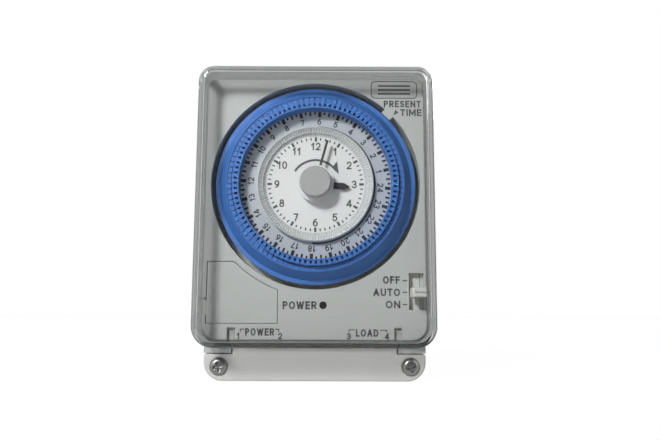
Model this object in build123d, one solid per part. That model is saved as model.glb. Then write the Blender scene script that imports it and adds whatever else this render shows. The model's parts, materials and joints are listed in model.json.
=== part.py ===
"""Rail and wall mounted time switch: a 24-hour dial of setting tabs under a clear lift-off cover.

Sizes are in millimetres. Each piece is drawn in the dial frame: the origin is where the dial axis
meets the front of the panel, x runs to the right, y up and z towards the reader. PLACE then moves it
to the part's own frame: +Z up, the front towards -Y, and the origin on the wall plane in the middle
of the rail groove.
"""
from build123d import *
import os
from math import atan2, cos, degrees, dist, pi, radians, sin

# Body: three mouldings of one width, stacked from the wall to the front
BODY_W = 71.0           # width of base, housing and terminal cover
TOP_EDGE = 1.5          # well of the dial to the top of the body
PANEL_DROP = 15.9       # well of the dial to the lower edge of the panel
BODY_DROP = 13.0        # lower edge of the panel to the bottom of the body
BODY_DEPTH = 47.0       # panel front to the wall
SPLIT = 12.0            # panel front to the joint between housing and base
WALL = 2.0              # side walls of base and housing
PANEL = 2.0             # thickness of the panel
PANEL_EDGE = 0.6        # rounding along the panel's front edge
CORNER_TOP = 3.0        # upper corners of the body
CORNER_PANEL = 4.8      # lower corners of the panel
CORNER_LOW = 6.0        # lower corners of base and terminal cover
BACK = 2.2              # thickness of the base's back
FUSE = 0.5              # how far an added wall runs into its neighbour

# Clear cover, which slips over the front of the housing
COVER_FIT = 0.2         # gap between body and cover
COVER_WALL = 1.8
COVER_RISE = 9.0        # cover front above the panel
COVER_SKIRT = 4.5       # cover rim behind the panel front
COVER_EDGE = 2.6        # rounding of the front edge
NOTCH_IN = 9.3          # notches in the panel's lower edge, from the side of the body
NOTCH_W = 2.5
NOTCH_H = 4.0
NOTCH_DEEP = 1.2
LUG_H = 2.8             # height of the cover's lug inside its notch
LUG_FIT = 0.2

# Terminal cover and its chamber
TERMINAL_DROP = 4.8     # terminal cover front behind the panel front
TERMINAL_T = 2.0        # thickness of its front
TERMINAL_WALL = 1.8     # its skirt, and the base wall below the chamber
EAR_DROP = 4.5          # lower edge of the panel to the top of its two ears
SHOULDER_IN = 8.8       # inner end of the housing's shoulders, from the side of the body
TERMINAL_FIT = 0.3      # gap between terminal cover and housing
COVER_SCREW_IN = 4.9    # the two cover screws, from the side of the body
COVER_SCREW_DROP = 8.4  # lower edge of the panel to the two cover screws
COVER_SCREW_LENGTH = 14.0
SCREW_BOSS_R = 2.7
M3_R = 1.5
M3_PILOT_R = 1.5
M3_HEAD_R = 2.75
M3_HEAD_H = 1.9
HEAD_SINK = 0.6         # depth of the recess round each visible screw head
HEAD_CROWN = 0.4        # bevel of a pan head, as a share of its height
CHAMBER_FLOOR = 27.0    # panel front to the floor of the terminal chamber
CHAMBER_DROP = 0.7      # lower edge of the panel to the top of the chamber
OUTER_SHARE = 0.6535    # terminals from the middle, as shares of half the width
INNER_SHARE = 0.2817
TERMINAL_W = 8.0
TERMINAL_SHEET = 0.9
TAIL_W = 3.0
TAIL_FIT = 0.2
BARRIER_T = 1.6
BARRIER_GAP = 0.6       # inner barriers from their terminals
BARRIER_H = 13.0
ENTRY_W = 6.5           # wire entries through the bottom wall
ENTRY_DEPTH = 10.0
TERMINAL_SCREW_R = 3.4
TERMINAL_SCREW_H = 2.4
TERMINAL_SHANK_R = 1.75
TERMINAL_SHANK = 7.0

# Rail groove (35 mm rail, 7.5 mm deep) and the clip that locks the rail
RAIL_DROP = 12.7        # rail middle below the dial axis
RAIL_HALF = 17.7        # half of the rail's width, with clearance
GROOVE = 7.7            # depth of the groove
HOOK = 2.0              # reach of the fixed hook behind the rail's edge
HOOK_T = 6.2            # thickness of the hook, up to the rail's flange
CLIP_W = 10.4
CLIP_T = 2.3
CLIP_LIFT = 3.8         # wall plane to the clip
CLIP_RIB_W = 7.6
CLIP_RIB_CLEAR = 0.6    # rib of the clip stays this far inside the wall plane
CLIP_FIT = 0.2
CLIP_NOSE = 1.4         # slanted nose that rides over the rail's edge
CLIP_TRAVEL = 3.0
CLIP_TAIL = 0.4         # clip ends this far above the bottom of the body
CLIP_HOOP = 1.6         # base material round the clip's channel

# Screws that hold the housing to the base
BOSS_SIDE = 5.5         # upper bosses from the side of the body
BOSS_TOP = 4.0          # upper bosses from the top of the body
BOSS_LOW = 3.8          # lower bosses from the lower edge of the panel
BOSS_R = 2.8
BOSS_TUBE_R = 3.9
BOSS_SEAT = 26.0        # panel front to the seat of the screw heads
BOSS_SCREW = 20.0
BOSS_BORE_R = 2.95
KEYHOLE_X = 20.0        # hanging slots in the back, from the middle
KEYHOLE_DROP = 11.3     # top of the body to the seat of the wall screws
KEYHOLE_ROUND_R = 4.0
KEYHOLE_SLOT_R = 2.1
KEYHOLE_RUN = 7.0

# Dial ring and its tabs
RING_IN = 3.2           # flange of the ring from the side of the body
WELL_GAP = 1.5          # flange to the wall of the well
WELL_WALL = 1.2
CREST = 3.9             # tabs and inner lip of the ring above the panel
RIM = 2.8               # outer rim of the ring above the panel
RING_BACK = 2.4         # back of the ring behind the panel
FLANGE_W = 1.3
FLANGE_T = 1.1
SKIRT_W = 2.3           # slanted skirt between flange and rim
SKIRT_DROP = 0.6        # skirt starts this far under the rim
RING_WALL = 1.1         # ring is hollow behind its trough
TAB_RING_GAP = 0.5      # edge of the rim to the notched tab ring
TAB_RING_W = 1.3        # tab ring outside the trough
TAB_RING_DROP = 0.25    # tab ring lower than the rim
TRACK_W = 0.45          # free track between tabs and tab ring
TAB_T = 1.55            # tab, measured along the radius
TAB_W = 1.55            # head of the tab, measured along the ring
STEM_T = 0.9            # narrow inner part of the tab, measured along the radius
STEM_W = 0.95           # the same, measured along the ring
TAB_COUNT = 96
TAB_LIFT = 0.05         # tab foot above the trough floor
TAB_FOOT = 0.8          # height of the slanted foot
TAB_HEEL = 1.0          # width of the flat under the tab, whose outer edge the tab rocks on
LIP_GAP = 0.05          # tab to the inner lip
LIP_T = 0.45
TROUGH_FLOOR = 2.05     # trough floor above the panel front
TAB_SLOT_W = 0.3        # slot in the tab ring between two tabs
TAB_SLOT_DEEP = 1.0
LOOSE_TABS = (11, 35, 59, 83)
DIAL_TURN = -2.9        # the dial stands a little past the hour
WEB_FRONT = 1.2         # web that carries the hour plate, behind the panel front
WEB_T = 1.3
PLATE_T = 0.8
PLATE_W = 7.45          # the hour plate is a ring round the clock face
PLATE_FIT = 0.05
HUB_R = 4.6
HUB_FRONT = 1.6         # front of the hub behind the panel front
RUN = 0.07              # radial running clearance of every turning fit

# Well of the housing
LEDGE = 5.8             # width of the ledge at the bottom of the well
LEDGE_FRONT = 3.6
LEDGE_T = 1.6
MOAT = 8.0              # depth of the gap round the dial
MOAT_T = 1.2            # floor of the gap
MOAT_WALL = 0.7         # between the gap and the movement's front plate
MOAT_FIT = 0.15
POINTER_ANGLE = 45.0    # mark for the present time, from the right
POINTER_SPAN = 6.2
POINTER_REACH = 1.6     # from the wall of the well inwards
POINTER_T = 0.9

# Clock face, hands and knob
FACE_GAP = 0.6          # hour plate to the clock face
FACE_FRONT = 0.0
FACE_T = 0.9
BEZEL_LAP = 1.85        # bezel over the hour plate
BEZEL_INNER_LAP = 0.4   # bezel over the edge of the face
BEZEL_INNER_W = 0.6     # lower slope outside the face
BEZEL_CLEAR = 0.15      # bezel above the turning hour plate
BEZEL_TOP = 1.6         # rim of the bezel above the panel front
BEZEL_EDGE = 0.3
BEZEL_STEP = 0.85       # height of the step's upper and lower edge
BEZEL_STEP_FOOT = 0.6
BEZEL_LIP = 0.15
HAND_T = 0.4
HOUR_HAND_Z = 0.7
HOUR_HAND_SHORT = 5.1   # tips of the hands from the edge of the face
HOUR_HAND_W = 2.1
HOUR_HAND_WAIST = 1.9
HOUR_HAND_POINT = 2.0    # length of the pointed end
HOUR_ANGLE = -5.5
MINUTE_HAND_Z = 2.1
MINUTE_HAND_SHORT = 1.8
MINUTE_HAND_W = 0.75
MINUTE_HUB_R = 5.9      # round hub of the minute hand under the knob
MINUTE_HUB_T = 1.1
MINUTE_ANGLE = 74.8
HAND_BOSS_R = 2.9
KNOB_R = 5.0
KNOB_FRONT = 5.2
KNOB_T = 1.7
KNOB_EDGE = 0.4
KNOB_SOCKET = 1.0       # arbor runs this far into the knob

# Shafts and wheels on the dial axis
ARBOR_R = 0.95
PIPE_WALL = 0.55        # pipe of the hour wheel
TUBE_R = 2.8            # fixed tube that carries the dial
CLIP_RING_R = 4.2
CLIP_RING_T = 0.6
WHEEL_T = 1.2
WHEEL_GAP = 1.2         # between wheels in neighbouring layers
PINION_OVERLAP = 0.2    # pinion stands past its wheel on both faces
MOVEMENT_PLATE_T = 1.4
FRONT_PLATE_LAP = 3.5   # front plate laps the ledge of the well
PLATE_GAP = 0.8         # front plate to the hour wheel
REAR_GAP = 1.4          # drive wheel to the rear plate
DIAL_WHEEL_T = 1.4
DIAL_WHEEL_GAP = 0.9
ADDENDUM = 0.85         # tooth heights, in modules
DEDENDUM = 1.15
TOOTH_SHARE = 0.40      # half tooth at the pitch circle, as a share of the pitch angle's half
TOOTH_ROOT = 1.4        # tooth at the root and the tip against the pitch circle
TOOTH_TIP = 0.5
TRAIN_M = 0.5           # module of the minute and hour wheels
MINUTE_TEETH = 15
COUNTER_TEETH = 45
COUNTER_PINION_TEETH = 12
HOUR_TEETH = 48
DIAL_TEETH = 80
DIAL_PINION_TEETH = 10
DRIVE_M = 0.4
DRIVE_TEETH = 60
MOTOR_TEETH = 10
COUNTER_R = 0.8         # counter arbor
CLUTCH_R = 2.6          # boss of the drive wheel, which slips on the minute arbor

# Movement frame and motor
PILLAR_X = 19.0
PILLAR_Y = 16.0
PILLAR_R = 2.2
REAR_PLATE_MARGIN = 3.5
REAR_PLATE_CORNER = 3.0
M2_R = 1.0
M2_HEAD_R = 1.9
M2_HEAD_H = 1.2
M2_BITE = 1.4           # thread in the ledge
PILLAR_BITE = 4.0       # thread in a pillar
LEDGE_SCREW_ANGLES = (90, 210, 330)
LEDGE_SCREW_IN = 1.55   # ledge screws from the ledge's inner edge
MOTOR_R = 13.0
MOTOR_ROOM = 2.6        # motor to the circuit board
MOTOR_WALL = 0.6
COIL_R = 12.0
COIL_BORE = 7.0
ROTOR_R = 5.8
ROTOR_GAP = 0.8
ROTOR_SHAFT_R = 0.8
PINION_HOLE_R = 2.6

# Trip lever and microswitch
LEVER_PIVOT_IN = 6.787  # pivot, nose and tail of the lever, from the ledge's inner edge
LEVER_NOSE_IN = 2.111
LEVER_TAIL_IN = 5.967
LEVER_PIVOT_ANGLE = -45.0
LEVER_NOSE_ANGLE = -20.815
LEVER_TAIL_ANGLE = -74.197
LEVER_W = 3.2
LEVER_TAPER = 0.8       # arms are this much narrower than the lever's ends
LEVER_T = 1.3
LEVER_LIFT = 0.5        # lever above the front plate
LEVER_POST_R = 0.8
LEVER_POST = 3.4        # post behind the front plate
LEVER_PIN_R = 1.0
LEVER_PIN_RISE = 0.4    # pin stands past the lever
WINDOW_R = 2.2
SWITCH_W = 13.0
SWITCH_H = 6.5
SWITCH_T = 6.0
SWITCH_LEFT = 9.2       # plunger from the left end of the switch
PLUNGER_W = 1.2
PLUNGER_RISE = 1.1
PLUNGER_DEEP = 2.0
PLUNGER_FIT = 0.08
POST_GAP = 0.15         # lever post to plunger

# Slider for OFF, AUTO and ON
SLOT_IN = 3.45          # slot middle from the side of the body
SLOT_DROP = 0.5         # well to the middle of the slot
SLOT_W = 4.7
SLOT_H = 11.6
SLIDER_STEP = 3.8
CARRIAGE_T = 1.8
CARRIAGE_GAP = 0.15
CARRIAGE_LEFT = 3.65    # slot middle to the left edge of the carriage
CARRIAGE_SIDE = 0.15
CARRIAGE_SHORT = 4.6    # slot and travel, less this, is the carriage's length
SLIDER_STEM_W = 2.8
SLIDER_STEM_H = 2.2
CAP_W = 4.5
CAP_H = 3.0
CAP_FOOT = 0.4
CAP_FRONT = 6.2
CAP_RIGHT = 0.2         # cap to the right of the slot's middle, and below it
CAP_DROP = 0.4
CAP_GROOVE = 0.5
CAP_RIM = 1.0           # left end of the cap, where its groove stops
GUIDE_T = 1.1
GUIDE_LIP = 1.0

# Lamp, battery and lid
LAMP_X = 2.6
LAMP_DROP = 4.9         # well to the lamp
LAMP_R = 1.15
LAMP_FIT = 0.05
LED_R = 1.5
LED_H = 3.0
LED_BEVEL = 0.9
LID_T = 1.4
LID_GAP = 0.2
LID_RIGHT = -11.6
LID_DROP = 10.7         # well to the lower edge of the lid
LID_H = 19.6
LID_ARC_GAP = 1.9       # lid's round corner from the well
LID_SIDE = 1.2          # side of the body to the lid's recess
LID_EDGE = 0.4          # rounding of the lid's left and upper edge
FINGER_RISE = 2.9       # lower edge of the lid to the finger notch beside it
FINGER_H = 5.2
BAY_WALL = 1.2
BAY_RIGHT = -13.2
BAY_RISE = 1.3          # lower edge of the lid to the battery bay
BAY_H = 13.2
BATTERY_R = 3.6
BATTERY_GAP = 0.2
BATTERY_RISE = 3.8      # bay floor to the middle of the cell
BATTERY_Z = -6.6
CONTACT_T = 0.4
CONTACT_H = 6.0
CONTACT_D = 7.0

# Circuit board
BOARD_ROOM = 18.0       # front of the board to the wall
BOARD_T = 1.6
BOARD_SIDE = 2.5        # board to the side walls
BOARD_RISE = 6.2        # lower edge of the panel to the board
BOARD_DROP = 17.8       # top of the body to the board
BOARD_CLEAR = 0.4
POST_SIDE = 4.0         # posts from the edges of the board
POST_RISE = 7.5
POST_DROP = 4.5
POST_R = 2.5
STAKE_R = 1.1
STAKE_FIT = 0.1
FILM_SIDE = 0.3         # film capacitor from the edge of the board
FILM_H = 8.0
FILM_Y = -22.0
FILM_ROOM = 0.8         # film capacitor to the movement
PART_GAP = 0.7          # parts of the board to the motor
CAN_R = 4.0
CAN_ROOM = 2.8
CAN_Y = (-30.0, -20.0)
CHIP_BOX = (10.0, 6.2, 1.8)
CHIP_Y = -6.0
CRYSTAL_R = 1.0
CRYSTAL_L = 6.0
CRYSTAL_Y = 4.0
CHIP_SIDE = 11.0        # chip and crystal from the edge of the board

def polar(radius, angle):
    """Point on a circle round the dial axis, angle in degrees from the right."""
    return radius * cos(radians(angle)), radius * sin(radians(angle))


# Places worked out from the driving dimensions
HALF = BODY_W / 2
RING_R = HALF - RING_IN
WELL_R = RING_R + WELL_GAP
BODY_TOP = WELL_R + TOP_EDGE
PANEL_LOW = WELL_R + PANEL_DROP
BODY_LOW = PANEL_LOW + BODY_DROP
NOTCH_X = HALF - NOTCH_IN
EAR_TOP = PANEL_LOW + EAR_DROP
SHOULDER_X = HALF - SHOULDER_IN
COVER_SCREW_X = HALF - COVER_SCREW_IN
COVER_SCREW_Y = PANEL_LOW + COVER_SCREW_DROP
CHAMBER_TOP = PANEL_LOW + CHAMBER_DROP
TERMINAL_FAR = OUTER_SHARE * HALF
TERMINAL_NEAR = INNER_SHARE * HALF
TERMINAL_X = (-TERMINAL_FAR, -TERMINAL_NEAR, TERMINAL_NEAR, TERMINAL_FAR)
BARRIER_FAR = (TERMINAL_FAR + TERMINAL_NEAR) / 2
BARRIER_NEAR = TERMINAL_NEAR - TERMINAL_W / 2 - BARRIER_T / 2 - BARRIER_GAP
BARRIER_X = (-BARRIER_FAR, -BARRIER_NEAR, BARRIER_NEAR, BARRIER_FAR)
BOSS_X = (-HALF + BOSS_SIDE, HALF - BOSS_SIDE, -BARRIER_FAR, BARRIER_FAR)
BOSS_HIGH = BODY_TOP - BOSS_TOP
BOSS_DOWN = -PANEL_LOW + BOSS_LOW
BOSS_Y = (BOSS_HIGH, BOSS_HIGH, BOSS_DOWN, BOSS_DOWN)
KEYHOLE_Y = BODY_TOP - KEYHOLE_DROP
SLOT_Y = -WELL_R - SLOT_DROP
LAMP_Y = -WELL_R - LAMP_DROP
LID_LOW = -WELL_R - LID_DROP
LID_HIGH = LID_LOW + LID_H
FINGER_LOW = LID_LOW + FINGER_RISE
FINGER_HIGH = FINGER_LOW + FINGER_H
BAY_LOW = LID_LOW + BAY_RISE
BAY_HIGH = BAY_LOW + BAY_H
BATTERY_Y = BAY_LOW + BATTERY_RISE
LEDGE_R = WELL_R - LEDGE
LEDGE_BACK = LEDGE_FRONT + LEDGE_T
SKIRT_FOOT_R = RING_R - FLANGE_W
CREST_R = SKIRT_FOOT_R - SKIRT_W
TAB_RING_R = CREST_R - TAB_RING_GAP
TROUGH_R = TAB_RING_R - TAB_RING_W
TAB_OUT = TROUGH_R - TRACK_W
TAB_IN = TAB_OUT - TAB_T
LIP_R = TAB_IN - LIP_GAP
PLATE_R = LIP_R - LIP_T - PLATE_FIT
PLATE_BORE = PLATE_R - PLATE_W
PLATE_FRONT = PLATE_T - WEB_FRONT
FACE_R = PLATE_BORE - FACE_GAP
BEZEL_R = PLATE_BORE + BEZEL_LAP
BEZEL_IN = FACE_R - BEZEL_INNER_LAP
BEZEL_STEP_R = FACE_R + BEZEL_INNER_W
HOUR_HAND_TIP = FACE_R - HOUR_HAND_SHORT
HOUR_HAND_SHOULDER = HOUR_HAND_TIP - HOUR_HAND_POINT
MINUTE_HAND_TIP = FACE_R - MINUTE_HAND_SHORT
WEB_BACK = WEB_FRONT + WEB_T
TRAIN_CENTRE = TRAIN_M * (MINUTE_TEETH + COUNTER_TEETH) / 2
DIAL_M = 2 * TRAIN_CENTRE / (DIAL_TEETH + DIAL_PINION_TEETH)
MOTOR_CENTRE = DRIVE_M * (DRIVE_TEETH + MOTOR_TEETH) / 2
PIPE_BORE = ARBOR_R + RUN
PIPE_R = PIPE_BORE + PIPE_WALL
TUBE_BORE = PIPE_R + RUN
FRONT_PLATE_R = LEDGE_R + FRONT_PLATE_LAP
MOAT_BORE = FRONT_PLATE_R + MOAT_FIT
FRONT_PLATE_BACK = LEDGE_BACK + MOVEMENT_PLATE_T
HOUR_WHEEL_FRONT = FRONT_PLATE_BACK + PLATE_GAP
COUNTER_WHEEL_FRONT = HOUR_WHEEL_FRONT + WHEEL_T + WHEEL_GAP
DRIVE_WHEEL_FRONT = COUNTER_WHEEL_FRONT + WHEEL_T + WHEEL_GAP
REAR_PLATE_FRONT = DRIVE_WHEEL_FRONT + WHEEL_T + REAR_GAP
REAR_PLATE_BACK = REAR_PLATE_FRONT + MOVEMENT_PLATE_T
DIAL_WHEEL_FRONT = WEB_BACK + DIAL_WHEEL_GAP
DIAL_WHEEL_BACK = DIAL_WHEEL_FRONT + DIAL_WHEEL_T
BOARD_FRONT = BODY_DEPTH - BOARD_ROOM
BOARD_HALF = HALF - WALL - BOARD_SIDE
BOARD_LOW = -PANEL_LOW + BOARD_RISE
BOARD_HIGH = BODY_TOP - BOARD_DROP
POST_X = BOARD_HALF - POST_SIDE
POST_LOW = BOARD_LOW + POST_RISE
POST_HIGH = BOARD_HIGH - POST_DROP
MOTOR_BACK = BOARD_FRONT - MOTOR_ROOM
FILM_LEFT = -BOARD_HALF + FILM_SIDE
FILM_RIGHT = -MOTOR_R - PART_GAP
FILM_BOX = (FILM_RIGHT - FILM_LEFT, FILM_H, BOARD_FRONT - REAR_PLATE_BACK - FILM_ROOM)
FILM_AT = ((FILM_LEFT + FILM_RIGHT) / 2, FILM_Y)
CAN_X = MOTOR_R + PART_GAP + CAN_R
CAN_H = BOARD_FRONT - REAR_PLATE_BACK - CAN_ROOM
CANS_AT = tuple((CAN_X, y) for y in CAN_Y)
CHIP_AT = (-BOARD_HALF + CHIP_SIDE, CHIP_Y)
CRYSTAL_AT = (-BOARD_HALF + CHIP_SIDE, CRYSTAL_Y)
SLOT_X = HALF - SLOT_IN
CARRIAGE_RIGHT = HALF - WALL - CARRIAGE_SIDE
CARRIAGE_H = SLOT_H + 2 * SLIDER_STEP - CARRIAGE_SHORT
LID_ARC_R = WELL_R + LID_ARC_GAP
BAY_LEFT = -HALF + WALL + BAY_WALL
BAY_ARC_R = WELL_R + WELL_WALL + BAY_WALL
RAIL_Y = -RAIL_DROP
GROOVE_LOW = RAIL_Y - RAIL_HALF
GROOVE_HIGH = RAIL_Y + RAIL_HALF
FLOOR = BODY_DEPTH - BACK
RAIL_FLOOR = BODY_DEPTH - GROOVE - BACK
CLIP_FRONT = BODY_DEPTH - CLIP_LIFT - CLIP_T
LEVER_PIVOT = polar(LEDGE_R - LEVER_PIVOT_IN, LEVER_PIVOT_ANGLE)
LEVER_NOSE = polar(LEDGE_R - LEVER_NOSE_IN, LEVER_NOSE_ANGLE)
LEVER_TAIL = polar(LEDGE_R - LEVER_TAIL_IN, LEVER_TAIL_ANGLE)
MOTOR_AT = (0, -MOTOR_CENTRE)
COUNTER_AT = (0, TRAIN_CENTRE)

PLACE = Plane(origin=(0, -BODY_DEPTH, RAIL_DROP), x_dir=(1, 0, 0), z_dir=(0, -1, 0)).location


def block(x0, x1, y0, y1, z0, z1):
    """Box between two opposite corners."""
    middle = Pos((x0 + x1) / 2, (y0 + y1) / 2, (z0 + z1) / 2)
    return middle * Box(abs(x1 - x0), abs(y1 - y0), abs(z1 - z0))


def disc(radius, z0, z1, at=(0, 0)):
    """Cylinder along the dial's direction between two depths."""
    return Pos(at[0], at[1], (z0 + z1) / 2) * Cylinder(radius, abs(z1 - z0))


def sleeve(bore, radius, z0, z1, at=(0, 0)):
    """Round tube between two depths."""
    return disc(radius, z0, z1, at) - disc(bore, z0, z1, at)


def slab(sketch, z0, z1):
    """Flat outline carried from depth z0 forward to z1."""
    return extrude(Pos(0, 0, z0) * sketch, z1 - z0)


def turned(*points):
    """Profile of (radius, depth) points turned round the dial axis."""
    return revolve(Plane.XZ * Polygon(*points, align=None), Axis.Z)


def outline(half, low, high, r_low, r_high):
    """Upright rectangle with one radius on its lower corners and one on its upper corners."""
    sheet = Pos(0, (low + high) / 2) * Rectangle(2 * half, high - low)
    sheet = fillet(sheet.vertices().group_by(Axis.Y)[0], r_low)
    return fillet(sheet.vertices().group_by(Axis.Y)[-1], r_high)


def group(solids):
    """Separate solids that share one node."""
    return Compound(children=list(solids))


def gear(teeth, module, bore, z0, z1, at=(0, 0), first=0.0):
    """Spur gear with straight flanks, thinned for backlash, first tooth at an angle in degrees."""
    pitch = teeth * module / 2
    half = TOOTH_SHARE * pi / teeth
    corners = (
        (pitch - DEDENDUM * module, -TOOTH_ROOT * half),
        (pitch + ADDENDUM * module, -TOOTH_TIP * half),
        (pitch + ADDENDUM * module, TOOTH_TIP * half),
        (pitch - DEDENDUM * module, TOOTH_ROOT * half),
    )
    points = []
    for tooth in range(teeth):
        turn = radians(first) + 2 * pi * tooth / teeth
        points += [(r * cos(turn + a), r * sin(turn + a)) for r, a in corners]
    blank = Polygon(*points, align=None) - Circle(bore)
    return slab(Pos(*at) * blank, z0, z1)


def pan_screw(at, seat, shank, radius, head_r, head_h, facing=1):
    """Pan-head screw: head seated at a depth and facing front (1) or back (-1)."""
    head = disc(head_r, seat, seat + facing * head_h, at)
    crown = head.edges().group_by(Axis.Z)[-1 if facing > 0 else 0]
    head = chamfer(crown, head_h * HEAD_CROWN)
    return head + disc(radius, seat, seat - facing * shank, at)


# Housing, base and covers

def lid_sheet(gap):
    """Outline of the battery lid, with its round corner that follows the well."""
    left, right = -HALF + LID_SIDE + gap, LID_RIGHT - gap
    low, high = LID_LOW + gap, LID_HIGH - gap
    sheet = Pos((left + right) / 2, (low + high) / 2) * Rectangle(right - left, high - low)
    return sheet - Circle(LID_ARC_R + gap)


def bay_sheet(grow, arc):
    """Outline of the battery bay, cut back where the dial well passes."""
    left, right = BAY_LEFT - grow, BAY_RIGHT + grow
    low, high = BAY_LOW - grow, BAY_HIGH + grow
    sheet = Pos((left + right) / 2, (low + high) / 2) * Rectangle(right - left, high - low)
    return sheet - Circle(arc)


def pointer_tab():
    """Fixed mark that reaches over the dial's flange at the present time."""
    half = radians(POINTER_SPAN / 2) * WELL_R
    bar = block(WELL_R - POINTER_REACH, WELL_R + FUSE, -half, half, -POINTER_T, 0)
    return Rot(0, 0, POINTER_ANGLE) * bar


def slider_guide():
    """Hooked rib that holds the slider's carriage against the panel."""
    edge = SLOT_X - CARRIAGE_LEFT - CARRIAGE_SIDE
    back = -PANEL - 2 * CARRIAGE_GAP - CARRIAGE_T
    low, high = SLOT_Y - SLOT_H / 2, SLOT_Y + SLOT_H / 2
    rib = block(edge - GUIDE_T, edge, low, high, back - GUIDE_T, -PANEL + FUSE)
    return rib + block(edge - GUIDE_T, edge + GUIDE_LIP, low, high, back - GUIDE_T, back)


def front_housing():
    shell = slab(outline(HALF, -PANEL_LOW, BODY_TOP, CORNER_PANEL, CORNER_TOP), -SPLIT, 0)
    shell = fillet(shell.edges().group_by(Axis.Z)[-1], PANEL_EDGE)
    room = outline(HALF - WALL, -PANEL_LOW + WALL, BODY_TOP - WALL, CORNER_PANEL - WALL, CORNER_TOP - WALL)
    shell -= slab(room, -SPLIT, -PANEL)
    for side in (-1, 1):
        shoulder = block(side * SHOULDER_X, side * HALF, -EAR_TOP + TERMINAL_FIT,
                         -PANEL_LOW + CORNER_PANEL, -SPLIT, -TERMINAL_DROP)
        shell += shoulder - block(side * SHOULDER_X, side * (HALF - WALL), -PANEL_LOW + WALL,
                                  -PANEL_LOW + CORNER_PANEL, -SPLIT, -TERMINAL_DROP)
    for at in zip(BOSS_X, BOSS_Y):
        shell += disc(BOSS_R, -SPLIT, -PANEL + FUSE, at)
    shell += slab(bay_sheet(BAY_WALL, WELL_R + WELL_WALL / 2), -SPLIT, -PANEL + FUSE)
    shell += disc(WELL_R + WELL_WALL, -MOAT - MOAT_T, -PANEL + FUSE)
    shell += slider_guide()
    shell -= disc(WELL_R, -LEDGE_FRONT, 0)
    shell -= disc(LEDGE_R, -LEDGE_BACK, 0)
    shell -= disc(MOAT_BORE, -MOAT - MOAT_T, -LEDGE_BACK)
    shell -= sleeve(MOAT_BORE + MOAT_WALL, WELL_R, -MOAT, -LEDGE_FRONT)
    shell += pointer_tab()
    shell -= slab(lid_sheet(0), -LID_T - LID_GAP, 0)
    shell -= block(-HALF, -HALF + LID_SIDE, FINGER_LOW, FINGER_HIGH, -LID_T - LID_GAP, 0)
    shell -= slab(bay_sheet(0, BAY_ARC_R), -SPLIT + BAY_WALL, 0)
    shell -= block(SLOT_X - SLOT_W / 2, SLOT_X + SLOT_W / 2, SLOT_Y - SLOT_H / 2, SLOT_Y + SLOT_H / 2,
                   -PANEL, 0)
    shell -= disc(LAMP_R + LAMP_FIT, -PANEL, 0, (LAMP_X, LAMP_Y))
    for side in (-1, 1):
        shell -= block(side * NOTCH_X - NOTCH_W / 2, side * NOTCH_X + NOTCH_W / 2,
                       -PANEL_LOW, -PANEL_LOW + NOTCH_H, -NOTCH_DEEP, 0)
    for at in zip(BOSS_X, BOSS_Y):
        shell -= disc(M3_PILOT_R, -SPLIT, -BOSS_SEAT + BOSS_SCREW, at)
    for angle in LEDGE_SCREW_ANGLES:
        shell -= disc(M2_R, -LEDGE_BACK, -LEDGE_FRONT, polar(LEDGE_R + LEDGE_SCREW_IN, angle))
    return shell


def clear_cover():
    half = HALF + COVER_FIT + COVER_WALL
    low, high = -PANEL_LOW - COVER_FIT - COVER_WALL, BODY_TOP + COVER_FIT + COVER_WALL
    bottom, top = (corner + COVER_FIT for corner in (CORNER_PANEL, CORNER_TOP))
    skin = slab(outline(half, low, high, bottom + COVER_WALL, top + COVER_WALL), -COVER_SKIRT, COVER_RISE)
    skin = fillet(skin.edges().group_by(Axis.Z)[-1], COVER_EDGE)
    room = slab(outline(half - COVER_WALL, low + COVER_WALL, high - COVER_WALL, bottom, top),
                -COVER_SKIRT, COVER_RISE - COVER_WALL)
    skin -= fillet(room.edges().group_by(Axis.Z)[-1], COVER_EDGE - COVER_WALL)
    width = NOTCH_W / 2 - LUG_FIT
    for side in (-1, 1):
        skin += block(side * NOTCH_X - width, side * NOTCH_X + width, low + COVER_WALL - FUSE,
                      -PANEL_LOW + LUG_H, -NOTCH_DEEP + LUG_FIT, -LUG_FIT)
    return skin


def terminal_cover():
    ears = outline(HALF, -BODY_LOW, -EAR_TOP, CORNER_LOW, PANEL_EDGE)
    top = -PANEL_LOW - TERMINAL_FIT
    tongue = Pos(0, (top - EAR_TOP - FUSE) / 2) * Rectangle(2 * (SHOULDER_X - TERMINAL_FIT),
                                                            top + EAR_TOP + FUSE)
    shell = slab(ears + tongue, -SPLIT, -TERMINAL_DROP)
    shell = fillet(shell.edges().group_by(Axis.Z)[-1], PANEL_EDGE)
    inside = outline(HALF - TERMINAL_WALL, -BODY_LOW + TERMINAL_WALL, top, CORNER_LOW - TERMINAL_WALL,
                     PANEL_EDGE)
    shell -= slab(inside, -SPLIT, -TERMINAL_DROP - TERMINAL_T)
    for side in (-1, 1):
        at = (side * COVER_SCREW_X, -COVER_SCREW_Y)
        shell -= disc(SCREW_BOSS_R + LUG_FIT, -SPLIT, -TERMINAL_DROP - TERMINAL_T, at)
        shell -= disc(M3_R + COVER_FIT, -TERMINAL_DROP - TERMINAL_T, -TERMINAL_DROP, at)
        shell -= disc(M3_HEAD_R + COVER_FIT, -TERMINAL_DROP - HEAD_SINK, -TERMINAL_DROP, at)
    return shell


def terminal_cover_screws():
    seat = -TERMINAL_DROP - HEAD_SINK
    places = [(side * COVER_SCREW_X, -COVER_SCREW_Y) for side in (-1, 1)]
    return group(pan_screw(at, seat, COVER_SCREW_LENGTH, M3_R, M3_HEAD_R, M3_HEAD_H) for at in places)


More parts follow.
